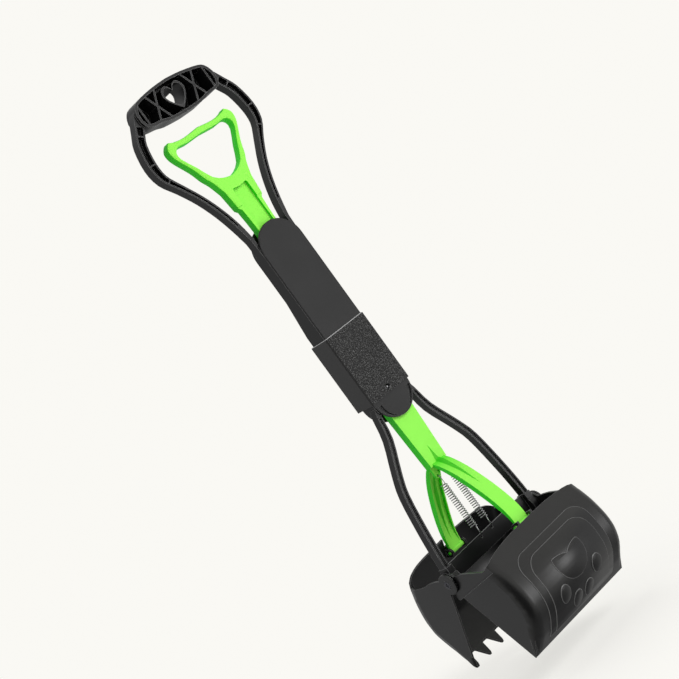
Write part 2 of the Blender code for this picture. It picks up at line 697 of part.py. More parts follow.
def make_upper_frame(frame, material):
    """Handle bow, grip and the rear shell of the upper shaft, moulded as one."""
    piece = frame.add("upper_frame", upper_shell(), material)
    frame.cut(piece, upper_cavity(), round_top_cutter(HOUSING_HALF_WIDTH, HOUSING_TOP))
    for side in (-1, 1):
        low = side * (UPPER_ROD_HALF_WIDTH + RUNNING_GAP)
        high = low + side * RAIL_THICKNESS
        rail = block(min(low, high), max(low, high), HANDLE_FRONT + SPLIT_GAP,
                     HOUSING_BACK_TOP - HOUSING_BACK_WALL / 2, UPPER_RAIL_BOTTOM, UPPER_RAIL_TOP)
        frame.fuse(piece, rail)
    frame.fuse(piece, handle_bow(), grip_body())
    frame.cut(piece, *bow_channels())
    tray = inset(both_sides(grip_outline()), GRIP_WALL)
    frame.cut(piece, prism(tray, "Y", GRIP_FRONT - OVERRUN, GRIP_BACK - GRIP_FLOOR))
    heart_tube = prism(heart_outline(HEART_HALF_WIDTH + HEART_WALL), "Y",
                       GRIP_FRONT + GRIP_RIB_SETBACK, GRIP_BACK - GRIP_FLOOR / 2)
    frame.fuse(piece, *grip_ribs(), heart_tube)
    heart_hole = prism(heart_outline(HEART_HALF_WIDTH), "Y", GRIP_FRONT - OVERRUN, GRIP_BACK + OVERRUN)
    frame.combine(piece, heart_hole, "DIFFERENCE", "MANIFOLD")
    cut_knuckle_slot(frame, piece, FOLD_HEIGHT,
                     FOLD_HEIGHT + SQUEEZE_TRAVEL + KNUCKLE_RADIUS + KNUCKLE_SLOT_MARGIN)
    add_barrels(frame, piece, BARREL_INNER, BARREL_SPLIT, BARREL_SPLIT, BARREL_OUTER, 1)
    for height in UPPER_SCREW_HEIGHTS:
        for side in (-1, 1):
            cut_screw_seat(frame, piece, side * SCREW_SIDE, height)
    return piece


def upper_back(height):
    """How far back the upper housing reaches at a height."""
    if height >= DEEP_TOP + DEEP_TAPER:
        return HOUSING_BACK_TOP
    if height >= DEEP_TOP:
        share = (height - DEEP_TOP) / DEEP_TAPER
        return HOUSING_BACK_DEEP + (HOUSING_BACK_TOP - HOUSING_BACK_DEEP) * share
    if height > DEEP_BOTTOM:
        return HOUSING_BACK_DEEP
    return HOUSING_BACK_HINGE


def upper_side_profile(shift, front):
    """The upper housing seen from the side, with its back shifted in by a wall."""
    top = HOUSING_TOP + (OVERRUN if shift else 0.0)
    bottom = FOLD_HEIGHT + SPLIT_GAP - (OVERRUN if shift else 0.0)
    step = DEEP_BOTTOM + shift
    return [
        (front, bottom), (HOUSING_BACK_HINGE - shift, bottom), (HOUSING_BACK_HINGE - shift, step),
        (HOUSING_BACK_DEEP - shift, step), (HOUSING_BACK_DEEP - shift, DEEP_TOP),
        (HOUSING_BACK_TOP - shift, DEEP_TOP + DEEP_TAPER), (HOUSING_BACK_TOP - shift, top),
        (front, top),
    ]


def upper_shell():
    """The upper housing's block."""
    return prism(upper_side_profile(0.0, HANDLE_FRONT), "X", -HOUSING_HALF_WIDTH, HOUSING_HALF_WIDTH)


def round_top_cutter(half_width, top):
    """What lies outside a round shaft top."""
    centre = top - half_width
    outline = [(-half_width - OVERRUN, centre), (-half_width, centre)]
    outline += list(reversed(arc(0.0, centre, half_width, 0.0, 180.0, ROUND_SIDES)))[1:]
    outline += [(half_width + OVERRUN, centre), (half_width + OVERRUN, top + OVERRUN),
                (-half_width - OVERRUN, top + OVERRUN)]
    return prism(outline, "Y", -OVERRUN, OVERRUN)


def upper_cavity():
    """The channel that the pull rod runs in."""
    profile = upper_side_profile(HOUSING_BACK_WALL, HANDLE_FRONT - OVERRUN)
    half = HOUSING_HALF_WIDTH - HOUSING_WALL
    return prism(profile, "X", -half, half)


def cut_knuckle_slot(frame, piece, low, high):
    """Open the back wall for the rods' hinge, which rides up and down in it."""
    frame.cut(piece, block(-KNUCKLE_SLOT_HALF, KNUCKLE_SLOT_HALF, ROD_HALF_DEPTH + SEAT_GAP,
                           FOLD_BACK + OVERRUN, min(low, high) - SPLIT_GAP * 2, max(low, high)))


def barrel_neck(low, high, side, up):
    """A hinge barrel with its neck to the wall it grows from."""
    root = FOLD_HEIGHT + up * BARREL_NECK
    start, end = sorted((side * low, side * high))
    back_wall = HOUSING_BACK_HINGE if up > 0 else TONGUE_BACK
    neck = [(FOLD_BACK - BARREL_RADIUS, FOLD_HEIGHT), (back_wall, FOLD_HEIGHT),
            (back_wall, root), (FOLD_BACK - BARREL_RADIUS, root)]
    return (rod(FOLD_BACK, FOLD_HEIGHT, BARREL_RADIUS, "X", start, end, ROUND_SIDES),
            prism(neck, "X", start, end))


def add_barrels(frame, piece, own_low, own_high, other_low, other_high, up):
    """Give a shaft half its hinge barrels, and make room for the other half's."""
    for side in (-1, 1):
        start, end = sorted((side * (other_low - BARREL_SIDE_GAP / 2),
                             side * (other_high + BARREL_SIDE_GAP)))
        room = rod(FOLD_BACK, FOLD_HEIGHT, BARREL_RADIUS + BARREL_CLEARANCE, "X", start, end, ROUND_SIDES)
        frame.cut(piece, room)
        barrel, neck = barrel_neck(own_low, own_high - BARREL_SIDE_GAP / 2 if own_high == BARREL_SPLIT
                                   else own_high, side, up)
        frame.fuse(piece, neck, barrel)
        bore_low, bore_high = sorted((side * (BARREL_INNER - SHORT_OVERRUN),
                                      side * (BARREL_OUTER + BARREL_BORE_PAST)))
        frame.cut(piece, rod(FOLD_BACK, FOLD_HEIGHT, BARREL_BORE, "X", bore_low, bore_high))


def cut_screw_seat(frame, piece, across, height):
    """A screw hole through the back wall, with a shallow seat for the head."""
    back = upper_back(height) if height > FOLD_HEIGHT else TONGUE_BACK
    frame.cut(piece, rod(across, height, SCREW_HOLE, "Y", -OVERRUN, OVERRUN),
              rod(across, height, SCREW_RECESS, "Y", back - SCREW_RECESS_DEPTH, back + OVERRUN))


def make_screw(frame, name, across, height, back, material):
    """A pan head screw driven from the back into a cover's boss."""
    head_back = back - SCREW_RECESS_DEPTH + SEAT_GAP + SCREW_HEAD_HEIGHT
    head_front = head_back - SCREW_HEAD_HEIGHT
    head = rod(across, height, SCREW_HEAD_RADIUS, "Y", head_front, head_back)
    piece = frame.add(name, head, material)
    frame.fuse(piece, rod(across, height, SCREW_SHANK_RADIUS, "Y", head_front - SCREW_REACH,
                          head_front + SEAT_GAP, 8))
    slot_half = SCREW_SHANK_RADIUS / 3
    slot_reach = SCREW_HEAD_RADIUS * SCREW_SLOT_SHARE
    frame.cut(piece, block(across - slot_reach, across + slot_reach,
                           head_back - SCREW_HEAD_HEIGHT / 2, head_back + OVERRUN,
                           height - slot_half, height + slot_half))
    return piece


def cover_boss(frame, piece, across, height, back):
    """A post on a cover's inner face that a screw bites into."""
    inner = COVER_FACE + COVER_THICKNESS
    end = back - SEAT_GAP
    frame.fuse(piece, rod(across, height, SCREW_BOSS, "Y", inner - COVER_THICKNESS / 2, end))
    head_front = back + HOUSING_BACK_WALL - SCREW_RECESS_DEPTH + SEAT_GAP
    depth = min(end, head_front) - SCREW_REACH - SEAT_GAP
    frame.cut(piece, rod(across, height, SCREW_HOLE, "Y", max(depth, inner), end + OVERRUN))


def make_upper_cover(frame, material):
    """The flat front plate of the upper shaft, with its round top."""
    centre = HOUSING_TOP - HOUSING_HALF_WIDTH
    outline = [(-HOUSING_HALF_WIDTH, FOLD_HEIGHT + SPLIT_GAP), (HOUSING_HALF_WIDTH, FOLD_HEIGHT + SPLIT_GAP)]
    outline += arc(0.0, centre, HOUSING_HALF_WIDTH, 0.0, 180.0, ROUND_SIDES)
    form = prism(outline, "Y", COVER_FACE, COVER_FACE + COVER_THICKNESS)
    low = FOLD_HEIGHT + SPLIT_GAP
    soften(form, COVER_EDGE, 2, lambda edge: all(v.co.y < COVER_FACE + SPLIT_GAP for v in edge.verts)
           and not all(v.co.z < low + SPLIT_GAP for v in edge.verts))
    piece = frame.add("upper_front_cover", form, material)
    for height in UPPER_SCREW_HEIGHTS:
        for side in (-1, 1):
            cover_boss(frame, piece, side * SCREW_SIDE, height, upper_back(height) - HOUSING_BACK_WALL)
    return piece


def trigger_outline():
    """Right half of the trigger's outer edge, from the bar down to the rod's end."""
    rise = TRIGGER_BAR_TOP - TRIGGER_ROD_TOP
    points = scaled(TRIGGER_OUTER_SHARES, TRIGGER_HALF_WIDTH, rise, TRIGGER_ROD_TOP)
    straight = TRIGGER_STRAIGHT_POINTS
    line = flow(points[:-straight], 3) + points[-straight:]
    end = FOLD_HEIGHT + SPLIT_GAP
    return line + [(UPPER_ROD_HALF_WIDTH, TRIGGER_ROD_TOP), (UPPER_ROD_HALF_WIDTH, end), (0.0, end)]


def make_trigger(frame, material):
    """The pull trigger with its finger loop and the upper pull rod."""
    rise = TRIGGER_HOLE_TOP - TRIGGER_HOLE_BOTTOM
    rings = rounded_rings(both_sides(trigger_outline()), -TRIGGER_HALF_DEPTH, TRIGGER_HALF_DEPTH,
                          TRIGGER_ROUNDING, 2)
    piece = frame.add("trigger", loft(rings, "Y"), material)
    hole = flow(scaled(TRIGGER_HOLE_SHARES, TRIGGER_HALF_WIDTH, rise, TRIGGER_HOLE_BOTTOM), 2)
    rings = rounded_rings(both_sides(hole), -TRIGGER_HALF_DEPTH, TRIGGER_HALF_DEPTH, -TRIGGER_ROUNDING, 2)
    rings = [(-OVERRUN, rings[0][1])] + rings + [(OVERRUN, rings[-1][1])]
    frame.cut(piece, loft(rings, "Y"))
    slim_top = HOUSING_TOP + RELEASE_TRAVEL + SPLIT_GAP * 2
    for side in (-1, 1):
        low, high = sorted((side * ROD_HALF_DEPTH, side * OVERRUN))
        frame.cut(piece, block(-HANDLE_HALF_WIDTH, HANDLE_HALF_WIDTH, low, high,
                               FOLD_HEIGHT - OVERRUN, slim_top))
    narrow = UPPER_ROD_HALF_WIDTH - TRIGGER_WEB_RIM
    web = scaled(TRIGGER_WEB_SHARES, narrow, narrow, TRIGGER_WEB_TOP)
    web += [(narrow, TRIGGER_WEB_FLOOR), (0.0, TRIGGER_WEB_FLOOR)]
    frame.cut(piece, prism(both_sides(web), "Y", -OVERRUN, -ROD_HALF_DEPTH + TRIGGER_WEB_DEPTH))
    for side in (-1, 1):
        add_knuckle(frame, piece, *sorted((side * (KNUCKLE_INNER + KNUCKLE_SIDE_GAP),
                                           side * KNUCKLE_OUTER)), 1)
    frame.cut(piece, rod(FOLD_BACK, FOLD_HEIGHT, KNUCKLE_BORE, "X", -OVERRUN, OVERRUN))
    return piece


def add_knuckle(frame, piece, low, high, up):
    """A hinge lug that reaches back from a pull rod's end to the fold line."""
    inner = FOLD_HEIGHT + up * SPLIT_GAP
    outer = FOLD_HEIGHT + up * KNUCKLE_RADIUS
    root = ROD_HALF_DEPTH - SEAT_GAP * 2
    neck = [(root, inner), (FOLD_BACK, inner), (FOLD_BACK, outer), (root, outer)]
    frame.fuse(piece, prism(neck, "X", low, high),
               rod(FOLD_BACK, FOLD_HEIGHT, KNUCKLE_RADIUS, "X", low, high, ROUND_SIDES))


def make_sleeve(frame, material):
    """The lock sleeve: front and sides all the way, and lips behind the upper shaft."""
    inner = HOUSING_HALF_WIDTH + RUNNING_GAP
    outer = inner + SLEEVE_WALL
    face = COVER_FACE - RUNNING_GAP - SLEEVE_WALL
    outline = [(-outer, SLEEVE_BACK), (-outer, face + SLEEVE_CORNER), (-outer + SLEEVE_CORNER, face),
               (outer - SLEEVE_CORNER, face), (outer, face + SLEEVE_CORNER), (outer, SLEEVE_BACK),
               (inner, SLEEVE_BACK), (inner, COVER_FACE - RUNNING_GAP),
               (-inner, COVER_FACE - RUNNING_GAP), (-inner, SLEEVE_BACK)]
    form = prism(outline, "Z", SLEEVE_BOTTOM, SLEEVE_TOP)
    soften(form, SLEEVE_EDGE, 1, lambda edge: all(
        v.co.z > SLEEVE_TOP - SPLIT_GAP
        and (abs(v.co.x) > outer - SLEEVE_WALL / 2 or v.co.y < face + SLEEVE_WALL / 2)
        for v in edge.verts) and not all(v.co.y > SLEEVE_BACK - SPLIT_GAP for v in edge.verts))
    piece = frame.add("lock_sleeve", form, material)
    for side in (-1, 1):
        low, high = sorted((side * SLEEVE_LIP_REACH, side * (outer - SLEEVE_WALL / 2)))
        frame.fuse(piece, block(low, high, SLEEVE_LIP_FRONT, SLEEVE_BACK,
                                SLEEVE_TOP - SLEEVE_LIP_HEIGHT, SLEEVE_TOP))
    frame.cut(piece, rod(0.0, DETENT_HEIGHT, DETENT_HOLE, "Y", face - OVERRUN, 0.0, ROUND_SIDES))
    return piece


def tongue_outline(half_width, bottom):
    """Seen from the front: straight sides from the split down to a round end."""
    centre = bottom + half_width
    top = FOLD_HEIGHT - SPLIT_GAP
    outline = [(half_width, top), (-half_width, top)]
    return outline + arc(0.0, centre, half_width, 180.0, 360.0, ROUND_SIDES)


def arm_lines():
    """Outer and inner edge of the right arm of the lower frame."""
    spread = ARM_SPAN - TONGUE_HALF_WIDTH
    table = [(TONGUE_HALF_WIDTH + a * spread, u * ARM_START, t * ARM_THICKNESS)
             for a, u, t in ARM_SHARES]
    line = flow(table, 3)
    outer = [(point[0], point[1]) for point in line]
    inner = offset(line, [point[2] for point in line])
    return outer, inner


def make_lower_frame(frame, material):
    """Rear shell of the lower shaft, two arms, their end bosses and the spring plate."""
    form = prism(tongue_outline(TONGUE_HALF_WIDTH, TONGUE_BOTTOM), "Y", HANDLE_FRONT, TONGUE_BACK)
    piece = frame.add("lower_frame", form, material)
    half = TONGUE_HALF_WIDTH - TONGUE_WALL
    frame.cut(piece, block(-half, half, HANDLE_FRONT - OVERRUN, TONGUE_BACK - TONGUE_WALL,
                           TONGUE_BOTTOM - OVERRUN, FOLD_HEIGHT + OVERRUN))
    for side in (-1, 1):
        low, high = sorted((side * (LOWER_ROD_HALF_WIDTH + RUNNING_GAP),
                            side * (LOWER_ROD_HALF_WIDTH + RUNNING_GAP + RAIL_THICKNESS)))
        frame.fuse(piece, block(low, high, HANDLE_FRONT, TONGUE_BACK - TONGUE_WALL / 2,
                                LOWER_RAIL_BOTTOM, LOWER_RAIL_TOP))
    outer, inner = arm_lines()
    ring = outer + list(reversed(inner))
    channel = inset(outer[3:-3] + list(reversed(inner[3:-3])), ARM_CHANNEL_RIM)
    for shape, groove, side in ((ring, channel, 1), (mirrored(ring), mirrored(channel), -1)):
        frame.fuse(piece, prism(shape, "Y", -ARM_HALF_DEPTH, ARM_HALF_DEPTH))
        frame.cut(piece, prism(groove, "Y", -OVERRUN, -ARM_HALF_DEPTH + ARM_CHANNEL_DEPTH))
        low, high = sorted((side * ARM_END_INNER, side * ARM_SPAN))
        frame.fuse(piece, rod(0.0, 0.0, ARM_END_RADIUS, "X", low, high, ROUND_SIDES),
                   block(low, high, -ARM_SHOULDER_HALF, ARM_SHOULDER_HALF, 0.0, ARM_SHOULDER_TOP))
    frame.fuse(piece, block(-ARM_END_INNER - SEAT_GAP, ARM_END_INNER + SEAT_GAP, -PLATE_HALF_THICKNESS,
                            PLATE_HALF_THICKNESS, PLATE_BOTTOM, PLATE_TOP))
    for side in (-1, 1):
        frame.cut(piece, rod(side * SPRING_SIDE, PLATE_HOLE_HEIGHT, PLATE_HOLE, "Y", -OVERRUN, OVERRUN))
        low, high = sorted((side * (PIVOT_SHANK_INNER - SEAT_GAP), side * (ARM_SPAN + OVERRUN)))
        frame.cut(piece, rod(0.0, 0.0, JAW_EAR_BORE, "X", low, high))
        cut_screw_seat(frame, piece, side * SCREW_SIDE, LOWER_SCREW_HEIGHT)
    cut_knuckle_slot(frame, piece, FOLD_HEIGHT + SPLIT_GAP * 2,
                     FOLD_HEIGHT - RELEASE_TRAVEL - KNUCKLE_RADIUS - KNUCKLE_SLOT_MARGIN)
    add_barrels(frame, piece, BARREL_SPLIT + BARREL_SIDE_GAP / 2, BARREL_OUTER,
                BARREL_INNER - BARREL_SIDE_GAP / 2, BARREL_SPLIT, -1)
    return piece


def make_lower_cover(frame, material):
    """The lower shaft's front plate, raised in the middle, with a pocket at each side."""
    form = prism(tongue_outline(TONGUE_HALF_WIDTH, TONGUE_BOTTOM), "Y", COVER_FACE,
                 COVER_FACE + COVER_THICKNESS)
    piece = frame.add("lower_front_cover", form, material)
    rim = tongue_outline(TONGUE_HALF_WIDTH - TONGUE_POCKET_RIM, TONGUE_BOTTOM + TONGUE_POCKET_RIM)
    side_line = [point for point in rim if point[0] > TONGUE_PANEL_HALF / 2 and point[1] < TONGUE_POCKET_TOP]
    panel = arc(0.0, TONGUE_PANEL_END, TONGUE_PANEL_HALF, 0.0, TONGUE_PANEL_TURN, TONGUE_PANEL_STEPS)
    pocket = side_line + [(side_line[-1][0], TONGUE_POCKET_TOP), (TONGUE_PANEL_HALF, TONGUE_POCKET_TOP)] + panel
    for outline in (pocket, mirrored(pocket)):
        frame.cut(piece, prism(outline, "Y", -OVERRUN, COVER_FACE + TONGUE_POCKET_DEPTH))
    frame.fuse(piece, rod(0.0, DETENT_HEIGHT, DETENT_BOSS, "Y", COVER_FACE + COVER_THICKNESS / 2,
                          DETENT_BOSS_BACK, ROUND_SIDES))
    frame.cut(piece, rod(0.0, DETENT_HEIGHT, DETENT_BORE, "Y", -OVERRUN,
                         DETENT_BOSS_BACK - DETENT_FLOOR, ROUND_SIDES))
    for side in (-1, 1):
        cover_boss(frame, piece, side * SCREW_SIDE, LOWER_SCREW_HEIGHT, TONGUE_BACK - TONGUE_WALL)
    return piece


def make_detent(frame, steel):
    """The ball that clicks into the sleeve, and the coil that pushes it out."""
    centre = COVER_FACE - RUNNING_GAP - DETENT_PROUD + DETENT_RADIUS
    form = bmesh.new()
    bmesh.ops.create_uvsphere(form, u_segments=16, v_segments=10, radius=DETENT_RADIUS)
    bmesh.ops.translate(form, verts=form.verts, vec=(0.0, centre, DETENT_HEIGHT))
    frame.add("detent_ball", form, steel)
    start = centre + DETENT_RADIUS + DETENT_TRAVEL + DETENT_COIL_WIRE
    end = DETENT_BOSS_BACK - DETENT_FLOOR - SEAT_GAP - DETENT_COIL_WIRE
    points = []
    count = DETENT_COIL_TURNS * SPRING_POINTS_PER_TURN
    for step in range(count + 1):
        angle = math.tau * step / SPRING_POINTS_PER_TURN
        points.append((DETENT_COIL_RADIUS * math.cos(angle), start + (end - start) * step / count,
                       DETENT_HEIGHT + DETENT_COIL_RADIUS * math.sin(angle)))
    add_wire(frame, "detent_spring", points, DETENT_COIL_WIRE, steel)


def add_wire(frame, name, points, radius, material):
    """One unbroken round wire along a line of points."""
    curve = bpy.data.curves.new(name, "CURVE")
    curve.dimensions = "3D"
    curve.bevel_depth = radius
    curve.bevel_resolution = 1
    curve.use_fill_caps = True
    spline = curve.splines.new("POLY")
    spline.points.add(len(points) - 1)
    for index, point in enumerate(points):
        place = Vector(point) - frame.place
        spline.points[index].co = (place.x, place.y, place.z, 1.0)
    curve.materials.append(material)
    piece = bpy.data.objects.new(name, curve)
    bpy.context.collection.objects.link(piece)
    piece.parent = frame.empty
    return piece


def least_gap(points, radius, skip):
    """Clear distance between parts of one wire that aren't next to each other."""
    least = math.inf
    for index, point in enumerate(points):
        for other in points[index + skip:]:
            least = min(least, (Vector(point) - Vector(other)).length)
    return least - 2 * radius


def make_spring(frame, name, side, material):
    """A return spring, hooked through the plate below and through the fork's eye above."""
    across = side * SPRING_SIDE
    slack = PLATE_HOLE - SPRING_WIRE_RADIUS - SEAT_GAP
    low = PLATE_HOLE_HEIGHT + slack
    high = EYE_HEIGHT - (EYE_HOLE - SPRING_WIRE_RADIUS - SEAT_GAP)
    bend = (SPRING_HOOK_FRONT + PLATE_HALF_THICKNESS) / 3
    points = [(across, SPRING_HOOK_BACK, low), (across, 0.0, low),
              (across, SPRING_HOOK_FRONT - bend, low), (across, SPRING_HOOK_FRONT, low - bend)]
    count = SPRING_TURNS * SPRING_POINTS_PER_TURN
    for step in range(count + 1):
        angle = math.tau * step / SPRING_POINTS_PER_TURN - math.pi / 2
        rise = SPRING_COIL_BOTTOM + (SPRING_COIL_TOP - SPRING_COIL_BOTTOM) * step / count
        points.append((across + SPRING_RADIUS * math.cos(angle), SPRING_RADIUS * math.sin(angle), rise))
    points += [(across, SPRING_HOOK_FRONT, high + bend), (across, SPRING_HOOK_FRONT - bend, high),
               (across, 0.0, high), (across, SPRING_HOOK_BACK, high)]
    print(name, "least gap between turns in mm:",
          round(least_gap(points, SPRING_WIRE_RADIUS, SPRING_POINTS_PER_TURN - 2) / MM, 2))
    return add_wire(frame, name, points, SPRING_WIRE_RADIUS, material)


def leg_line():
    """Middle line of a leg, out and up."""
    return flow(scaled(LEG_SHARES, LEG_REACH, ROD_FOOT - FOOT_PIN_HEIGHT, FOOT_PIN_HEIGHT), 3)


def make_fork(frame, material):
    """The lower pull rod with its two legs, their feet and the eyes for the springs."""
    top = FOLD_HEIGHT - SPLIT_GAP
    half = [(0.0, top), (LOWER_ROD_HALF_WIDTH, top), (LOWER_ROD_HALF_WIDTH, ROD_TAPER_START),
            (ROD_FOOT_HALF_WIDTH, ROD_FOOT), (0.0, ROD_FOOT)]
    form = prism(both_sides(half), "Y", -ROD_HALF_DEPTH, ROD_HALF_DEPTH)
    piece = frame.add("fork_rod", form, material)
    line = leg_line()
    thick = [LEG_THICKNESS / 2] * len(line)
    strap = offset(line, [-value for value in thick]) + list(reversed(offset(line, thick)))
    deep = [LEG_FLANGE_DEPTH * math.sin(math.pi * (step + 1) / (len(line) + 1)) for step in range(len(line))]
    flange = line + list(reversed(offset(line, deep)))
    for turn in (1, -1):
        frame.fuse(piece, prism(turned(strap, turn), "X", -LEG_HALF_WIDTH, LEG_HALF_WIDTH))
        for side in (-1, 1):
            low, high = sorted((side * (LEG_HALF_WIDTH - LEG_FLANGE), side * (LEG_HALF_WIDTH - SPLIT_GAP)))
            frame.fuse(piece, prism(turned(flange, turn), "X", low, high))
        frame.fuse(piece, rod(turn * LEG_REACH, FOOT_PIN_HEIGHT, FOOT_RADIUS, "X", -LEG_HALF_WIDTH,
                              LEG_HALF_WIDTH, ROUND_SIDES),
                   rod(turn * LEG_REACH, FOOT_PIN_HEIGHT, FOOT_PIN_RADIUS, "X", -FOOT_PIN_HALF, FOOT_PIN_HALF))
    for side in (-1, 1):
        middle = side * SPRING_SIDE
        eye = [(middle - EYE_HALF_WIDTH, ROD_FOOT + EYE_ROOT), (middle + EYE_HALF_WIDTH, ROD_FOOT + EYE_ROOT)]
        eye += arc(middle, EYE_HEIGHT, EYE_HALF_WIDTH, 0.0, -180.0, 8)
        frame.fuse(piece, prism(eye, "Y", -EYE_HALF_THICKNESS, EYE_HALF_THICKNESS))
        frame.cut(piece, rod(middle, EYE_HEIGHT, EYE_HOLE, "Y", -SHORT_OVERRUN, SHORT_OVERRUN))
    frame.cut(piece, block(-DETENT_GROOVE_HALF, DETENT_GROOVE_HALF, -OVERRUN,
                           -ROD_HALF_DEPTH + DETENT_GROOVE_DEPTH, DETENT_HEIGHT - DETENT_GROOVE_DROP,
                           DETENT_HEIGHT + DETENT_GROOVE_RISE))
    add_knuckle(frame, piece, -KNUCKLE_INNER, KNUCKLE_INNER, -1)
    frame.cut(piece, rod(FOLD_BACK, FOLD_HEIGHT, KNUCKLE_BORE, "X", -OVERRUN, OVERRUN))
    return piece


def jaw_profile(shares):
    """The outer wall's line from rim to lip, straight in its last stretch."""
    points = scaled(shares, JAW_REACH, JAW_DEPTH)
    return flow(points[:-1], 3) + points[-1:]


def jaw_rings(profile, half_width, radius):
    """The outer wall's line at stations across a jaw, drawn in where the corners round off."""
    rings = []
    for step in range(JAW_CORNER_STEPS + 1):
        angle = math.pi / 2 * step / JAW_CORNER_STEPS
        level = half_width - radius * (1 - math.cos(angle))
        drawn = [radius * (1 - math.sin(angle)) * min(1.0, max(out, 0.0) / JAW_CORNER_FADE)
                 for out, up in profile]
        rings.append((level, offset(profile, drawn)))
    return [(-level, line) for level, line in rings] + list(reversed(rings))


def jaw_block(profile, half_width, turn):
    """The jaw as a solid, with the long corners of its outer wall rounded."""
    top = [(JAW_MATING_GAP, profile[-1][1]), (JAW_MATING_GAP, JAW_EAR_RADIUS)]
    return loft([(level, turned(line[:-1] + top, turn))
                 for level, line in jaw_rings(profile, half_width, JAW_CORNER)], "X")


def jaw_hollow(profile, half_width, turn):
    """What the jaw holds, open to the top and to the other jaw."""
    inner = offset(profile, [JAW_WALL] * len(profile))
    rings = []
    for level, line in jaw_rings(inner, half_width - JAW_WALL, JAW_CORNER - JAW_WALL):
        first, last = line[0], line[-1]
        outline = [(first[0], first[1] + OVERRUN * 2)] + line
        outline += [(last[0] - OVERRUN, last[1]), (-OVERRUN, OVERRUN * 2)]
        rings.append((level, turned(outline, turn)))
    return loft(rings, "X")


def cut_side_tops(frame, piece, shares, turn):
    """Slope the side walls' top edges from the ears down to the rim."""
    line = flow(scaled(shares, JAW_REACH, JAW_DEPTH), 2)
    inner_face = JAW_REACH * SIDE_CUT_SHARES[0]
    kept = [point for point in line if point[0] < inner_face]
    last = line[len(kept)]
    share = (inner_face - kept[-1][0]) / (last[0] - kept[-1][0])
    kept.append((inner_face, kept[-1][1] + (last[1] - kept[-1][1]) * share))
    outline = [(-OVERRUN, kept[0][1])] + kept + [(inner_face, OVERRUN * 2), (-OVERRUN, OVERRUN * 2)]
    frame.cut(piece, prism(turned(outline, turn), "X", -REAR_HALF_WIDTH - OVERRUN,
                           REAR_HALF_WIDTH + OVERRUN))


def cut_rim(frame, piece, shares, half_width, turn):
    """Arch the rim of the outer wall, lower towards its corners."""
    half = flow(scaled(shares, half_width, JAW_DEPTH), 2)
    line = mirrored(half)[:-1] + half
    outline = line + [(half[-1][0], OVERRUN * 2), (-half[-1][0], OVERRUN * 2)]
    low, high = sorted((turn * JAW_REACH * SIDE_CUT_SHARES[1], turn * (JAW_REACH + OVERRUN)))
    frame.cut(piece, prism(outline, "Y", low, high))


def foot_ear(turn, side):
    """An ear inside the outer wall, with a slot for the fork's foot pin."""
    angle = math.atan2(FOOT_PIN_HEIGHT, LEG_REACH) - JAW_REST_ANGLE
    along = Vector((math.cos(angle), math.sin(angle)))
    up = Vector((-along.y, along.x))
    start = LEG_REACH - FOOT_PIN_RADIUS - RUNNING_GAP * 2
    reach = start + FOOT_SLOT_REACH + FOOT_PIN_RADIUS
    low, high = sorted((side * FOOT_EAR_INNER, side * (FOOT_EAR_INNER + FOOT_EAR_THICKNESS)))
    half = FOOT_SLOT_HALF + FOOT_EAR_WALL
    back = (JAW_REACH - JAW_WALL / 2) / along.x
    plate = [along * (start + half - FOOT_EAR_WALL) - up * half, along * back - up * half,
             along * back + up * half, along * (start + half - FOOT_EAR_WALL) + up * half]
    nose = [along * (start + half - FOOT_EAR_WALL) + Vector((math.cos(a) * half, math.sin(a) * half))
            for a in [angle + math.pi / 2 + math.pi * step / 8 for step in range(1, 8)]]
    outer = turned([tuple(point) for point in plate + nose], turn)
    slot = [along * (start + FOOT_SLOT_HALF) + Vector((math.cos(a), math.sin(a))) * FOOT_SLOT_HALF
            for a in [angle + math.pi / 2 + math.pi * step / 6 for step in range(7)]]
    slot += [along * reach - up * FOOT_SLOT_HALF, along * reach + up * FOOT_SLOT_HALF]
    hole = turned([tuple(point) for point in slot], turn)
    return prism(outer, "X", low, high), prism(hole, "X", low - SEAT_GAP, high + SEAT_GAP)


def add_foot_ears(frame, piece, turn):
    """Two slotted ears in the middle of a jaw's outer wall."""
    for side in (-1, 1):
        ear, slot = foot_ear(turn, side)
        frame.fuse(piece, ear)
        frame.cut(piece, slot)


def tooth_gap(middle):
    """The gap between two teeth, with a rounded root and the round of both teeth's tips."""
    root = (TOOTH_PITCH - TOOTH_ROOT_WIDTH) / 2
    lean = math.atan2(TOOTH_ROOT_WIDTH / 2 - TOOTH_TIP_RADIUS, TOOTH_LENGTH - TOOTH_TIP_RADIUS)
    half = [(TOOTH_PITCH / 2 - TOOTH_TIP_RADIUS * math.sin(turn),
             TOOTH_TIP_RADIUS * (1 - math.cos(turn)))
            for turn in [(math.pi / 2 - lean) * step / 2 for step in (1, 2)]]
    half = [(half[0][0], -SHORT_OVERRUN)] + half
    corner = root - TOOTH_ROOT_ROUNDING
    half += arc(corner, TOOTH_LENGTH - TOOTH_ROOT_ROUNDING, TOOTH_ROOT_ROUNDING, 0.0, 90.0, 2)
    return [(middle + across, along) for across, along in half + mirrored(half)]


def cut_teeth(frame, piece, lip):
    """Notch the rear jaw's lip into teeth, and round off its ends."""
    for index in range(TOOTH_COUNT - 1):
        notch = tooth_gap((index + 1 - TOOTH_COUNT / 2) * TOOTH_PITCH)
        frame.cut(piece, prism(notch, "Z", lip - OVERRUN, lip + OVERRUN / 2))
    end = REAR_HALF_WIDTH + SHORT_OVERRUN
    inner = REAR_HALF_WIDTH - TOOTH_CORNER
    corner = arc(inner, TOOTH_CORNER, TOOTH_CORNER, -90.0, 0.0, 3)
    corner = [(inner, -SHORT_OVERRUN)] + corner + [(end, TOOTH_CORNER), (end, -SHORT_OVERRUN)]
    for side in (1, -1):
        frame.cut(piece, prism(turned(corner, side), "Z", lip - OVERRUN, lip + OVERRUN / 2))


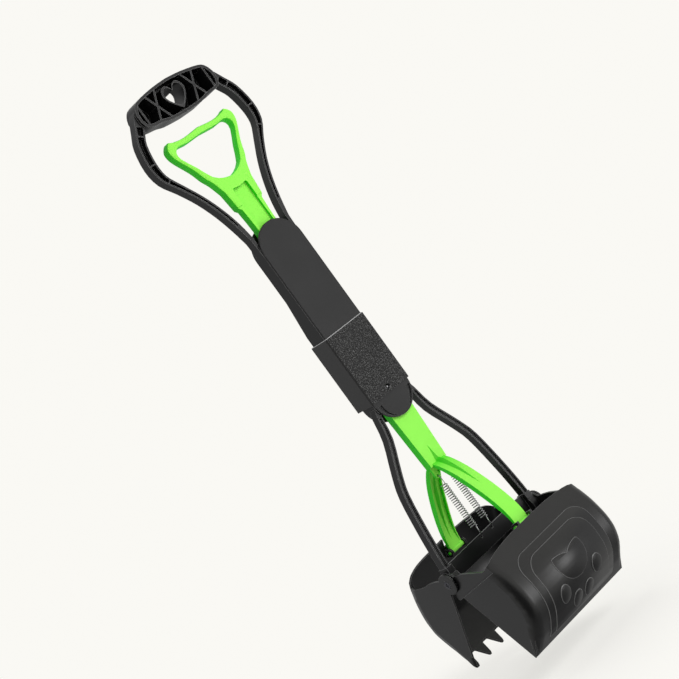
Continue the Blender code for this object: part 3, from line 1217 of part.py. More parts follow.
def make_rear_jaw(frame, material):
    """The toothed jaw, whose ears lie outside the other's."""
    profile = jaw_profile(REAR_WALL_SHARES)
    piece = frame.add("rear_jaw", jaw_block(profile, REAR_HALF_WIDTH, 1), material)
    frame.cut(piece, jaw_hollow(profile, REAR_HALF_WIDTH, 1))
    cut_side_tops(frame, piece, REAR_SIDE_TOP_SHARES, 1)
    cut_rim(frame, piece, REAR_RIM_SHARES, REAR_HALF_WIDTH, 1)
    frame.cut(piece, block(-LEG_NOTCH_HALF, LEG_NOTCH_HALF, JAW_REACH / 2, JAW_REACH + OVERRUN,
                           LEG_NOTCH_BOTTOM, OVERRUN * 2))
    for side in (-1, 1):
        low, high = sorted((side * (REAR_HALF_WIDTH - JAW_WALL), side * REAR_HALF_WIDTH))
        ear = rod(0.0, 0.0, JAW_EAR_RADIUS, "X", low, high, ROUND_SIDES)
        frame.fuse(piece, soften(ear, JAW_EAR_ROUNDING, 2, lambda edge: all(
            abs(v.co.x) > REAR_HALF_WIDTH - SPLIT_GAP for v in edge.verts)))
        low, high = sorted((side * ARM_SPAN, side * (REAR_HALF_WIDTH + OVERRUN)))
        frame.cut(piece, rod(0.0, 0.0, JAW_EAR_BORE, "X", low, high))
        low, high = sorted((side * (REAR_HALF_WIDTH - PIVOT_RECESS_DEPTH), side * (REAR_HALF_WIDTH + OVERRUN)))
        frame.cut(piece, rod(0.0, 0.0, PIVOT_RECESS_RADIUS, "X", low, high, ROUND_SIDES))
    add_foot_ears(frame, piece, 1)
    cut_teeth(frame, piece, profile[-1][1])
    return piece


def step_height(out, line):
    """Height of the step line at a distance from the mating plane."""
    share = (out - line[0][0]) / (line[1][0] - line[0][0])
    return line[0][1] + (line[1][1] - line[0][1]) * share


def corner_reach(across):
    """How far out a piece may go inside the front jaw's rounded corner."""
    beyond = max(across - (FRONT_HALF_WIDTH - JAW_CORNER), 0.0)
    wall = JAW_REACH * FRONT_WALL_SHARES[0][0] - JAW_CORNER
    return wall + math.sqrt(JAW_CORNER ** 2 - beyond ** 2) - JAW_WALL / 3


def front_ear_plate(turn, side):
    """The inset upper part of a side wall of the front jaw, with its round ear."""
    line = scaled(STEP_LINE_SHARES, JAW_REACH, JAW_DEPTH)
    tops = flow(scaled(FRONT_SIDE_TOP_SHARES, JAW_REACH, JAW_DEPTH), 2)
    edge = [point for point in tops if JAW_EAR_RADIUS < point[0] < corner_reach(FRONT_EAR_OUTER)]
    rings = []
    for across in (FRONT_EAR_INNER, FRONT_EAR_OUTER):
        wall = corner_reach(across)
        outline = arc(0.0, 0.0, JAW_EAR_RADIUS, *EAR_ARC_TURNS, SMALL_SIDES) + edge
        outline += [(wall, edge[-1][1] - STEP_LEDGE), (wall, step_height(wall, line) - STEP_LEDGE),
                    (-JAW_EAR_RADIUS, step_height(-JAW_EAR_RADIUS, line))]
        rings.append((side * across, turned(outline, turn)))
    return loft(rings, "X")


def front_ledge(turn, side):
    """The ledge where a side wall of the front jaw steps inwards."""
    line = scaled(STEP_LINE_SHARES, JAW_REACH, JAW_DEPTH)
    near = JAW_MATING_GAP
    rings = []
    for across in (FRONT_EAR_INNER, FRONT_EAR_OUTER, FRONT_HALF_WIDTH - JAW_WALL / 4):
        wall = corner_reach(across)
        outline = [(near, step_height(near, line)), (wall, step_height(wall, line)),
                   (wall, step_height(wall, line) - STEP_LEDGE), (near, step_height(near, line) - STEP_LEDGE)]
        rings.append((side * across, turned(outline, turn)))
    return loft(rings, "X")


def make_front_jaw(frame, material):
    """The smooth jaw, whose side walls step inwards to ears inside the other's."""
    turn = -1
    profile = jaw_profile(FRONT_WALL_SHARES)
    piece = frame.add("front_jaw", jaw_block(profile, FRONT_HALF_WIDTH, turn), material)
    frame.cut(piece, jaw_hollow(profile, FRONT_HALF_WIDTH, turn))
    cut_side_tops(frame, piece, FRONT_SIDE_TOP_SHARES, turn)
    cut_rim(frame, piece, FRONT_RIM_SHARES, FRONT_HALF_WIDTH, turn)
    line = scaled(STEP_LINE_SHARES, JAW_REACH, JAW_DEPTH)
    for side in (-1, 1):
        above = [line[0], line[1], (line[1][0], OVERRUN * 2), (line[0][0], OVERRUN * 2)]
        low, high = sorted((side * FRONT_EAR_OUTER, side * (FRONT_HALF_WIDTH + OVERRUN)))
        frame.cut(piece, prism(turned(above, turn), "X", low, high))
        frame.fuse(piece, front_ear_plate(turn, side), front_ledge(turn, side))
        low, high = sorted((side * (FRONT_EAR_INNER - SHORT_OVERRUN), side * (FRONT_HALF_WIDTH + OVERRUN)))
        frame.cut(piece, rod(0.0, 0.0, JAW_EAR_BORE, "X", low, high))
    add_foot_ears(frame, piece, turn)
    return piece


def make_pivots(frame, steel, black):
    """The stub screw and the washer at each end of the axle line."""
    seat = REAR_HALF_WIDTH - PIVOT_RECESS_DEPTH + SEAT_GAP
    ear_inner = REAR_HALF_WIDTH - JAW_WALL
    for side, word in ((-1, "left"), (1, "right")):
        low, high = sorted((side * seat, side * (seat + PIVOT_HEAD_HEIGHT)))
        piece = frame.add("pivot_screw_" + word,
                          rod(0.0, 0.0, PIVOT_HEAD_RADIUS, "X", low, high, ROUND_SIDES), steel)
        low, high = sorted((side * PIVOT_SHANK_INNER, side * (seat + SEAT_GAP)))
        frame.fuse(piece, rod(0.0, 0.0, PIVOT_SHANK_RADIUS, "X", low, high))
        low, high = sorted((side * (seat + PIVOT_HEAD_HEIGHT / 2), side * (seat + OVERRUN)))
        half = PIVOT_SHANK_RADIUS / 4
        long = PIVOT_SHANK_RADIUS
        for tall, wide in ((half, long), (long, half)):
            frame.cut(piece, block(low, high, -tall, tall, -wide, wide))
        gap = (ear_inner - FRONT_EAR_OUTER - WASHER_THICKNESS) / 2
        low, high = sorted((side * (FRONT_EAR_OUTER + gap), side * (ear_inner - gap)))
        washer = frame.add("pivot_washer_" + word,
                           rod(0.0, 0.0, WASHER_RADIUS, "X", low, high, ROUND_SIDES), black)
        frame.cut(washer, rod(0.0, 0.0, JAW_EAR_BORE, "X", low - OVERRUN, high + OVERRUN))


def make_hinge_pins(frame, rod_frame, steel):
    """Stub pins of the shaft's fold, and the pin that joins the two pull rods."""
    for side, word in ((-1, "left"), (1, "right")):
        low, high = sorted((side * (BARREL_INNER + SEAT_GAP), side * BARREL_OUTER))
        frame.add("fold_pin_" + word, rod(FOLD_BACK, FOLD_HEIGHT, FOLD_PIN_RADIUS, "X", low, high), steel)
    rod_frame.add("rod_hinge_pin", rod(FOLD_BACK, FOLD_HEIGHT, KNUCKLE_PIN_RADIUS, "X",
                                       -KNUCKLE_PIN_HALF, KNUCKLE_PIN_HALF), steel)


def make_cover_screws(shaft, lower, steel):
    """The screws that hold both front covers, driven from the back."""
    number = 1
    for height in UPPER_SCREW_HEIGHTS:
        for side in (-1, 1):
            make_screw(shaft, "upper_cover_screw_" + str(number), side * SCREW_SIDE, height,
                       upper_back(height), steel)
            number += 1
    for side, word in ((-1, "left"), (1, "right")):
        make_screw(lower, "lower_cover_screw_" + word, side * SCREW_SIDE, LOWER_SCREW_HEIGHT,
                   TONGUE_BACK, steel)


def main():
    """Build the scoop, half open as it is held."""
    clear_scene()
    black = make_material("black_plastic", BLACK, 0.42, 0.0)
    green = make_material("green_plastic", GREEN, 0.35, 0.0)
    steel = make_material("spring_steel", STEEL, 0.28, 1.0)
    dark = make_material("screw_steel", DARK_STEEL, 0.45, 1.0)
    shaft = Frame("axle_line", (0.0, 0.0, -GRIP_UNDERSIDE))
    pull = Frame("trigger_slide", (0.0, 0.0, TRIGGER_ROD_TOP), shaft)
    slide = Frame("sleeve_slide", (0.0, 0.0, SLEEVE_BOTTOM), shaft)
    lower = Frame("fold_line", (0.0, FOLD_BACK, FOLD_HEIGHT), shaft)
    fork = Frame("fork_slide", (0.0, 0.0, ROD_FOOT), lower)
    front = Frame("front_jaw_pivot", (0.0, 0.0, 0.0), lower, -JAW_REST_ANGLE)
    rear = Frame("rear_jaw_pivot", (0.0, 0.0, 0.0), lower, JAW_REST_ANGLE)
    make_upper_frame(shaft, black)
    make_upper_cover(shaft, black)
    make_trigger(pull, green)
    make_sleeve(slide, black)
    make_lower_frame(lower, black)
    make_lower_cover(lower, black)
    make_detent(lower, steel)
    make_fork(fork, green)
    make_spring(lower, "return_spring_left", -1, steel)
    make_spring(lower, "return_spring_right", 1, steel)
    make_front_jaw(front, black)
    make_rear_jaw(rear, black)
    make_pivots(lower, dark, black)
    make_hinge_pins(shaft, pull, dark)
    make_cover_screws(shaft, lower, dark)


if __name__ == "__main__":
    main()
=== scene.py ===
"""Looks of a long handled yard scoop with a folding shaft and two sprung jaws.

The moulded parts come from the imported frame. This script gives every part its finish,
rounds the moulded edges, winds the return springs, raises the panel and the paw on the
front jaw, and lays the fine ridges on the fork's legs. Sizes are in metres, in the frame's
own coordinates.
"""

import enum
import logging
import math
from collections.abc import Sequence
from dataclasses import dataclass, field

import bmesh
import bpy
from mathutils import Matrix, Vector
from mathutils.bvhtree import BVHTree


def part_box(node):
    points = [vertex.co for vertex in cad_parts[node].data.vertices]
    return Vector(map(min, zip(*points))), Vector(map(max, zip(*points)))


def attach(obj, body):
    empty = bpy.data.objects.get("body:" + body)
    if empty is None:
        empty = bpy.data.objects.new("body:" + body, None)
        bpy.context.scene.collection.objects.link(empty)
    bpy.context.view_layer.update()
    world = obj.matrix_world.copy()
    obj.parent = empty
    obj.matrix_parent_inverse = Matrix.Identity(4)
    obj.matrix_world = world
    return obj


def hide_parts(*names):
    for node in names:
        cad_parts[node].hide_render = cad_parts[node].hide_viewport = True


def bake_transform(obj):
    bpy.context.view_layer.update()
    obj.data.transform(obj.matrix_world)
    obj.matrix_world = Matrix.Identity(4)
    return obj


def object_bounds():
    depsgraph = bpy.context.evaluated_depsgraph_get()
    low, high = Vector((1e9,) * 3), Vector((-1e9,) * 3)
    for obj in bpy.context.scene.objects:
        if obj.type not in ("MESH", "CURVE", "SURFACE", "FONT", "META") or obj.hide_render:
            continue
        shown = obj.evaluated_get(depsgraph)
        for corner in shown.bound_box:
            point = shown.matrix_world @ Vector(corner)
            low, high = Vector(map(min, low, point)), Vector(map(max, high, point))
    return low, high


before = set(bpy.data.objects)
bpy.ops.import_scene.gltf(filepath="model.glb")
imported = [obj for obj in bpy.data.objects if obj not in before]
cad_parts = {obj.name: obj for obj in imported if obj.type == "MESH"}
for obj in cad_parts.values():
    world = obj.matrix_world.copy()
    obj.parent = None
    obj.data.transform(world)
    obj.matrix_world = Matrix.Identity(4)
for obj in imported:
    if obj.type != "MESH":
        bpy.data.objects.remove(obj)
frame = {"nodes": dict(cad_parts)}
CAD_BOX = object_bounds()

LOG = logging.getLogger("yard_scoop")
MM = 0.001
SIDES = ("left", "right")
Colour = tuple[float, float, float]
Point = tuple[float, float]
Triple = tuple[float, float, float]


def rgba(colour: Colour) -> tuple[float, float, float, float]:
    """The colour with a full alpha."""
    return (*colour, 1.0)


class Signal:
    """A node's output socket that Python's operators work on."""

    def __init__(self, sheet: "Sheet", socket: bpy.types.NodeSocket) -> None:
        """Keep the socket with the sheet it belongs to."""
        self.sheet = sheet
        self.socket = socket

    def _math(self, operation: str, *terms: "Signal | float") -> "Signal":
        """Add one Math node.

        Args:
            operation: Blender's name of the sum.
            terms: What goes into its sockets, in order.

        Returns:
            The node's result.
        """
        return self.sheet.node("ShaderNodeMath", {"operation": operation}, dict(enumerate(terms)))

    def __add__(self, other: "Signal | float") -> "Signal":
        """Self plus other."""
        return self._math("ADD", self, other)

    __radd__ = __add__

    def __sub__(self, other: "Signal | float") -> "Signal":
        """Self less other."""
        return self._math("SUBTRACT", self, other)

    def __rsub__(self, other: "Signal | float") -> "Signal":
        """Other less self."""
        return self._math("SUBTRACT", other, self)

    def __mul__(self, other: "Signal | float") -> "Signal":
        """Self times other."""
        return self._math("MULTIPLY", self, other)

    __rmul__ = __mul__

    def __truediv__(self, other: "Signal | float") -> "Signal":
        """Self over other."""
        return self._math("DIVIDE", self, other)

    def __rtruediv__(self, other: "Signal | float") -> "Signal":
        """Other over self."""
        return self._math("DIVIDE", other, self)

    def above(self, level: float) -> "Signal":
        """One where the signal is over a level, and zero elsewhere."""
        return self._math("GREATER_THAN", self, level)

    def larger(self, other: "Signal | float") -> "Signal":
        """The larger of the two."""
        return self._math("MAXIMUM", self, other)

    def smaller(self, other: "Signal | float") -> "Signal":
        """The smaller of the two."""
        return self._math("MINIMUM", self, other)

    def as_share(self) -> "Signal":
        """The signal, held between zero and one."""
        return self.larger(0.0).smaller(1.0)


class Sheet:
    """The nodes of one material, world or modifier, added by method calls."""

    def __init__(self, owner: bpy.types.Material | bpy.types.World | bpy.types.NodeTree) -> None:
        """Start with an empty node tree.

        Args:
            owner: What the nodes belong to, or the tree itself.
        """
        self.tree = owner
        if not isinstance(owner, bpy.types.NodeTree):
            owner.use_nodes = True
            self.tree = owner.node_tree
        self.tree.nodes.clear()

    def node(self, kind: str, settings: dict[str, object] | None = None,
             sockets: dict[int | str, object] | None = None, output: int | str = 0) -> Signal:
        """Add one node.

        Args:
            kind: Blender's type name of the node.
            settings: Its properties, set before its sockets.
            sockets: Values or signals for its inputs, by name or number.
            output: Which output is wanted.

        Returns:
            The output as a signal.
        """
        made = self.tree.nodes.new(kind)
        for name, value in (settings or {}).items():
            setattr(made, name, value)
        for key, value in (sockets or {}).items():
            if isinstance(value, Signal):
                self.tree.links.new(value.socket, made.inputs[key])
            else:
                made.inputs[key].default_value = value
        return Signal(self, made.outputs[output])

    def finish(self, result: Signal, kind: str = "ShaderNodeOutputMaterial") -> None:
        """Link a result to the first socket of a new output node."""
        self.tree.links.new(result.socket, self.tree.nodes.new(kind).inputs[0])

    def place(self, output: str = "Object") -> Signal:
        """Texture coordinates that ride with the object."""
        return self.node("ShaderNodeTexCoord", output=output)

    def along(self, axis: str, output: str) -> Signal:
        """One axis of the texture coordinates."""
        return self.node("ShaderNodeSeparateXYZ", None, {0: self.place(output)}, axis)

    def counted(self, widths: Sequence[float]) -> Signal:
        """The object's coordinates, counted in a width along each axis."""
        return self.node("ShaderNodeMapping", {"vector_type": "POINT"},
                         {"Vector": self.place(), "Scale": [1.0 / width for width in widths]})

    def noise(self, size: float, detail: float = 2.0, stretch: Triple = (1.0, 1.0, 1.0)) -> Signal:
        """Soft noise.

        Args:
            size: Width of a blotch in metres.
            detail: How many finer layers lie on it.
            stretch: How much longer the blotches are along each axis.

        Returns:
            The noise, from 0 to 1.
        """
        spot = self.counted([size * longer for longer in stretch])
        return self.node("ShaderNodeTexNoise", None, {"Vector": spot, "Scale": 1.0, "Detail": detail})

    def cells(self, size: float, stir: float, soft: float) -> Signal:
        """Distance to the nearest of scattered points, as in a pebbled skin.

        Args:
            size: Width of a pebble in metres.
            stir: How much noise bends the pebbles, in pebble widths.
            soft: How softly one pebble runs into the next, from 0 to 1.

        Returns:
            The distance, 0 in the middle of a pebble.
        """
        spot = self.counted([size] * 3)
        bend = self.node("ShaderNodeTexNoise", None, {"Vector": spot, "Scale": 1.0, "Detail": 1.0}, "Color")
        shift = self.node("ShaderNodeVectorMath", {"operation": "SCALE"}, {0: bend, "Scale": stir})
        bent = self.node("ShaderNodeVectorMath", {"operation": "ADD"}, {0: spot, 1: shift})
        return self.node("ShaderNodeTexVoronoi", {"feature": "SMOOTH_F1"},
                         {"Vector": bent, "Scale": 1.0, "Smoothness": soft})

    def between(self, share: Signal | float, first: Signal | Colour, second: Signal | Colour) -> Signal:
        """A colour between two, by a share.

        Args:
            share: How much of the second, from 0 to 1.
            first: The colour at 0.
            second: The colour at 1.

        Returns:
            The mixed colour.
        """
        # A Mix node has its colours on inputs 6 and 7 and on output 2.
        ends = [end if isinstance(end, Signal) else rgba(end) for end in (first, second)]
        return self.node("ShaderNodeMix", {"data_type": "RGBA"}, {0: share, 6: ends[0], 7: ends[1]}, 2)

    def measure(self, operation: str, first: Signal, second: Signal | Triple) -> Signal:
        """A number that Vector Math gives for two vectors, such as their dot product."""
        return self.node("ShaderNodeVectorMath", {"operation": operation}, {0: first, 1: second}, "Value")

    def bump(self, height: Signal, depth: float, base: Signal | None = None) -> Signal:
        """A normal bent by a height.

        Args:
            height: The height as a share of the depth.
            depth: Real depth of the relief in metres.
            base: The normal that it bends, if not the surface's own.

        Returns:
            The normal.
        """
        sockets = {"Distance": depth, "Height": height}
        if base is not None:
            sockets["Normal"] = base
        return self.node("ShaderNodeBump", None, sockets)

    def rounding(self, radius: float, reach: float, samples: int = 6) -> tuple[Signal, Signal]:
        """Edges eased by a small radius.

        Args:
            radius: The radius in metres.
            reach: How fast the lean from the surface's own normal counts as an edge.
            samples: How many rays feel for the edge.

        Returns:
            The eased normal, and how much of an edge it is, from 0 to 1.
        """
        eased = self.node("ShaderNodeBevel", {"samples": samples}, {"Radius": radius})
        own = self.node("ShaderNodeNewGeometry", output="Normal")
        match = self.measure("DOT_PRODUCT", eased, own)
        return eased, ((1.0 - match) * reach).as_share()

    def surface(self, **sockets: object) -> Signal:
        """A Principled shader with the named inputs, spaces written as underscores."""
        named = {key.replace("_", " "): value for key, value in sockets.items()}
        return self.node("ShaderNodeBsdfPrincipled", None, named)

    def shine(self, kind: str, colour: Signal | Colour, strength: float = 1.0) -> Signal:
        """A Background or an Emission shader."""
        seen = colour if isinstance(colour, Signal) else rgba(colour)
        return self.node(kind, None, {"Color": seen, "Strength": strength})

    def either(self, share: Signal, first: Signal, second: Signal) -> Signal:
        """A shader between two, by a share."""
        return self.node("ShaderNodeMixShader", None, {0: share, 1: first, 2: second})


class Skin(enum.Enum):
    """How a mould was textured."""

    POLISHED = "polished"
    SATIN = "satin"
    GRAINED = "grained"


@dataclass(frozen=True)
class MouldedPlastic:
    """An injection moulded plastic.

    A share says how much of one thing is mixed into another, a swing how far a noise moves the
    roughness, and a reach how fast an edge or a side wall shows.
    """

    name: str
    colour: Colour
    shade: Colour
    roughness: float
    gloss: float
    skin: Skin = Skin.SATIN
    edge: float = 0.4 * MM
    # The edge colour paints a highlight line along sharp edges.
    edge_highlight_colour: Colour = (0.130, 0.130, 0.132)
    edge_reach: float = 3.0
    edge_share: float = 0.55
    edge_cloud_share: float = 0.5
    edge_swing: float = 0.06
    # A side colour paints shade on walls that face across the scoop.
    side_shade_colour: Colour | None = None
    side_reach: float = 1.6
    blotch: float = 45 * MM
    blotch_share: float = 0.7
    blotch_swing: float = 0.10
    pit: float = 0.55 * MM
    pit_depth: float = 0.022 * MM
    pit_swing: float = 0.08
    polished_share: float = 0.25

    def make(self) -> bpy.types.Material:
        """Build the material with its cloudy tone, mould texture, uneven gloss, a painted highlight along
        its sharp edges and, on some plastics, painted shade on its side walls.

        Returns:
            The material.
        """
        material = bpy.data.materials.new(self.name)
        sheet = Sheet(material)
        cloud = sheet.noise(self.blotch, detail=3.0)
        pits = sheet.noise(self.pit)
        tone = sheet.between(cloud * self.blotch_share + pits * (1.0 - self.blotch_share),
                             self.shade, self.colour)
        # Walls that face across the scoop take the side colour: painted shade.
        if self.side_shade_colour is not None:
            tone = sheet.between(self._side_shade(sheet), tone, self.side_shade_colour)
        rough = self.roughness + (cloud - 0.5) * self.blotch_swing + (pits - 0.5) * self.pit_swing
        height = pits
        depth = self.pit_depth * (self.polished_share if self.skin is Skin.POLISHED else 1.0)
        if self.skin is Skin.GRAINED:
            leather = Leather()
            height, rough, tone = leather.lay(sheet, rough, pits, self.shade, self.colour)
            depth = leather.depth
        eased = None
        # A pale colour along sharp edges paints a highlight line there; the edges are also a little
        # glossier.
        if self.edge:
            eased, painted_edge = sheet.rounding(self.edge, self.edge_reach)
            painted_edge_share = painted_edge * (self.edge_share + cloud * self.edge_cloud_share)
            tone = sheet.between(painted_edge_share, tone, self.edge_highlight_colour)
            rough = rough - painted_edge * self.edge_swing
        normal = sheet.bump(height, depth, eased)
        sheet.finish(sheet.surface(Base_Color=tone, Roughness=rough, Normal=normal,
                                   Specular_IOR_Level=self.gloss))
        return material

    def _side_shade(self, sheet: Sheet) -> Signal:
        """One on walls that face across the scoop, zero on its front and back faces: where the side colour
        paints shade.
        """
        facing = sheet.along("Y", "Normal")
        return 1.0 - (facing * facing * self.side_reach).smaller(1.0)


@dataclass(frozen=True)
class Leather:
    """Leather-like pebbles on the front face of the lock sleeve, and a painted highlight on its top rim."""

    pebble: float = 1.5 * MM
    depth: float = 0.30 * MM
    stir: float = 0.9
    soft: float = 0.4
    fall: float = 1.25
    front_from: float = 0.75
    rim_from: float = 0.3
    rim_highlight_colour: Colour = (0.36, 0.36, 0.36)
    crown_share: float = 0.8
    plain_share: float = 0.14
    plain_tone: float = 0.16
    roughness: float = 0.10
    valley_roughness: float = 0.16
    grit_from: float = 0.45
    grit_reach: float = 2.6

    def lay(self, sheet: Sheet, rough: Signal, pits: Signal, shade: Colour,
            colour: Colour) -> tuple[Signal, Signal, Signal]:
        """Add the pebbles to a plastic's nodes, and paint a highlight on its upward faces.

        Args:
            sheet: The material's nodes.
            rough: The plain roughness.
            pits: Fine noise that breaks the pebbles up.
            shade: Colour of the valleys.
            colour: Colour of the crowns.

        Returns:
            Height, roughness and colour of the grained skin.
        """
        cells = sheet.cells(self.pebble, self.stir, self.soft)
        crown = 1.0 - cells * self.fall
        front = (sheet.along("Y", "Normal") * -1.0).above(self.front_from)
        plain = 1.0 - front
        # Upward faces take the pale rim colour: a painted highlight along the top rim.
        rim = sheet.along("Z", "Normal").above(self.rim_from)
        height = ((crown * self.crown_share + pits * (1.0 - self.crown_share)) * front
                  + pits * self.plain_share * plain)
        grained = rough + front * (self.roughness + cells * self.valley_roughness)
        grit = ((crown - self.grit_from) * self.grit_reach * (0.5 + pits)).as_share()
        tone = sheet.between(grit * front + self.plain_tone * plain, shade, colour)
        return height, grained, sheet.between(rim, tone, self.rim_highlight_colour)


@dataclass(frozen=True)
class DrawnSteel:
    """Drawn or turned steel, with fine lines along one axis."""

    name: str
    colour: Colour
    shade: Colour
    roughness: float
    line: float = 0.25 * MM
    line_stretch: Triple = (1.0, 1.0, 14.0)
    line_depth: float = 0.0125 * MM
    line_swing: float = 0.22
    tarnish: float = 6 * MM
    tarnish_share: float = 0.6

    def make(self) -> bpy.types.Material:
        """Build the material with its drawing lines and a little tarnish.

        Returns:
            The material.
        """
        material = bpy.data.materials.new(self.name)
        sheet = Sheet(material)
        lines = sheet.noise(self.line, stretch=self.line_stretch)
        cloud = sheet.noise(self.tarnish)
        tone = sheet.between(cloud * self.tarnish_share + lines * (1.0 - self.tarnish_share),
                             self.shade, self.colour)
        rough = self.roughness + (lines - 0.5) * self.line_swing
        normal = sheet.bump(lines, self.line_depth)
        sheet.finish(sheet.surface(Base_Color=tone, Roughness=rough, Metallic=1.0, Normal=normal))
        return material


@dataclass
class Finishes:
    """Every finish of the scoop, by the part that wears it."""

    frame: bpy.types.Material = field(init=False)
    plate: bpy.types.Material = field(init=False)
    sleeve: bpy.types.Material = field(init=False)
    jaw: bpy.types.Material = field(init=False)
    relief_highlight: bpy.types.Material = field(init=False)
    green: bpy.types.Material = field(init=False)
    spring: bpy.types.Material = field(init=False)
    screw: bpy.types.Material = field(init=False)
    ball: bpy.types.Material = field(init=False)

    def __post_init__(self) -> None:
        """Make the materials."""
        # Each edge colour paints a highlight line along the part's sharp edges.
        self.frame = MouldedPlastic(
            "frame_black", colour=(0.0070, 0.0070, 0.0073), shade=(0.0045, 0.0045, 0.0048),
            roughness=0.40, gloss=0.34, skin=Skin.POLISHED, edge=0.6 * MM,
            edge_highlight_colour=(0.45, 0.45, 0.45)).make()
        self.plate = MouldedPlastic(
            "plate_black", colour=(0.0080, 0.0080, 0.0083), shade=(0.0055, 0.0055, 0.0058),
            roughness=0.50, gloss=0.35, edge_highlight_colour=(0.25, 0.25, 0.25)).make()
        self.sleeve = MouldedPlastic(
            "sleeve_black", colour=(0.0850, 0.0850, 0.0850), shade=(0.0060, 0.0060, 0.0062),
            roughness=0.48, gloss=0.45, skin=Skin.GRAINED).make()
        self.jaw = MouldedPlastic(
            "jaw_charcoal", colour=(0.0080, 0.0080, 0.0082), shade=(0.0055, 0.0055, 0.0057),
            roughness=0.31, gloss=0.45, edge=0.6 * MM, edge_highlight_colour=(0.34, 0.34, 0.34)).make()
        # A pale, glossy finish on the relief's edge walls paints highlight lines along its outlines.
        self.relief_highlight = MouldedPlastic(
            "jaw_relief_highlight", colour=(0.125, 0.125, 0.126), shade=(0.100, 0.100, 0.101),
            roughness=0.30, gloss=0.60, edge=0.0).make()
        # The green's side colour paints shade on its side walls.
        self.green = MouldedPlastic(
            "lime_green", colour=(0.250, 0.770, 0.078), shade=(0.220, 0.730, 0.062),
            roughness=0.46, gloss=0.26, skin=Skin.POLISHED, edge=0.0,
            side_shade_colour=(0.022, 0.620, 0.005)).make()
        self.spring = DrawnSteel("spring_wire", (0.52, 0.52, 0.53), (0.26, 0.26, 0.27), 0.26).make()
        self.screw = DrawnSteel("screw_steel", (0.11, 0.11, 0.12), (0.05, 0.05, 0.06), 0.36).make()
        self.ball = DrawnSteel("ball_steel", (0.30, 0.30, 0.31), (0.16, 0.16, 0.17), 0.16).make()


def moulded_smooth(sharp: float = 38.0, same: float = 0.002 * MM) -> bpy.types.NodeTree:
    """A modifier's nodes that join a part's faces and smooth all but its real edges.

    Args:
        sharp: An edge sharper than this many degrees stays an edge.
        same: Points nearer to each other than this become one.

    Returns:
        The nodes, for a Nodes modifier.
    """
    group = bpy.data.node_groups.new("moulded_smooth", "GeometryNodeTree")
    for way in ("INPUT", "OUTPUT"):
        group.interface.new_socket("Geometry", in_out=way, socket_type="NodeSocketGeometry")
    sheet = Sheet(group)
    shape = sheet.node("NodeGroupInput")
    joined = sheet.node("GeometryNodeMergeByDistance", None, {"Geometry": shape, "Distance": same})
    faces = sheet.node("GeometryNodeSetShadeSmooth", {"domain": "FACE"}, {0: joined})
    bend = sheet.node("GeometryNodeInputMeshEdgeAngle")
    edges = sheet.node("GeometryNodeSetShadeSmooth", {"domain": "EDGE"},
                       {0: faces, "Selection": bend.above(math.radians(sharp)), "Shade Smooth": False})
    sheet.finish(edges, "NodeGroupOutput")
    return group


def wear(material: bpy.types.Material, smooth: bpy.types.NodeTree, *nodes: str) -> None:
    """Give parts of the frame their finish and smooth their rounded faces.

    Args:
        material: The finish.
        smooth: The nodes that smooth them.
        nodes: The parts' names.
    """
    for node in nodes:
        part = frame["nodes"][node]
        part.data.materials.clear()
        part.data.materials.append(material)
        part.modifiers.new("smooth", "NODES").node_group = smooth
        part.modifiers.new("weighted", "WEIGHTED_NORMAL").keep_sharp = True
        LOG.info("dressed %s in %s", node, material.name)


def skin_of(node: str) -> BVHTree:
    """A part of the frame as a tree of faces, to feel with rays.

    Args:
        node: The part's name.

    Returns:
        The tree.
    """
    mesh = frame["nodes"][node].data
    return BVHTree.FromPolygons([vert.co[:] for vert in mesh.vertices],
                                [face.vertices[:] for face in mesh.polygons])


def add_piece(name: str, mesh: bpy.types.Mesh) -> bpy.types.Object:
    """Put a mesh in the scene, smooth shaded.

    Args:
        name: The piece's name.
        mesh: Its mesh.

    Returns:
        The piece.
    """
    mesh.shade_smooth()
    piece = bpy.data.objects.new(name, mesh)
    bpy.context.collection.objects.link(piece)
    LOG.info("built %s", name)
    return piece


def raise_piece(name: str, form: bmesh.types.BMesh, *materials: bpy.types.Material) -> bpy.types.Object:
    """Turn a mesh drawn in frame coordinates into a smooth shaded object.

    Args:
        name: The piece's name.
        form: Its mesh, which is used up.
        materials: Its finishes, in the order of the form's material numbers.

    Returns:
        The object, linked to the scene.
    """
    bmesh.ops.recalc_face_normals(form, faces=form.faces)
    mesh = bpy.data.meshes.new(name)
    form.to_mesh(mesh)
    form.free()
    for material in materials:
        mesh.materials.append(material)
    return add_piece(name, mesh)


@dataclass(frozen=True)
class ShaftHalf:
    """Half of the folding shaft: its moulded shell, its front plate and what fastens it."""

    shell: str
    plate: str
    fasteners: tuple[str, ...]

    def dress(self, finish: Finishes, smooth: bpy.types.NodeTree) -> None:
        """Give the half its finishes.

        Args:
            finish: The scoop's finishes.
            smooth: The nodes that smooth a moulded part.
        """
        wear(finish.frame, smooth, self.shell)
        wear(finish.plate, smooth, self.plate)
        wear(finish.screw, smooth, *self.fasteners)


@dataclass(frozen=True)
class Lock:
    """The sleeve that slides over the fold, with the sprung ball that holds it."""

    sleeve: str = "lock_sleeve"
    ball: str = "detent_ball"
    coil: str = "detent_spring"

    def dress(self, finish: Finishes, smooth: bpy.types.NodeTree) -> None:
        """Give the lock its finishes.

        Args:
            finish: The scoop's finishes.
            smooth: The nodes that smooth a moulded part.
        """
        wear(finish.sleeve, smooth, self.sleeve)
        wear(finish.ball, smooth, self.ball)
        wear(finish.spring, smooth, self.coil)


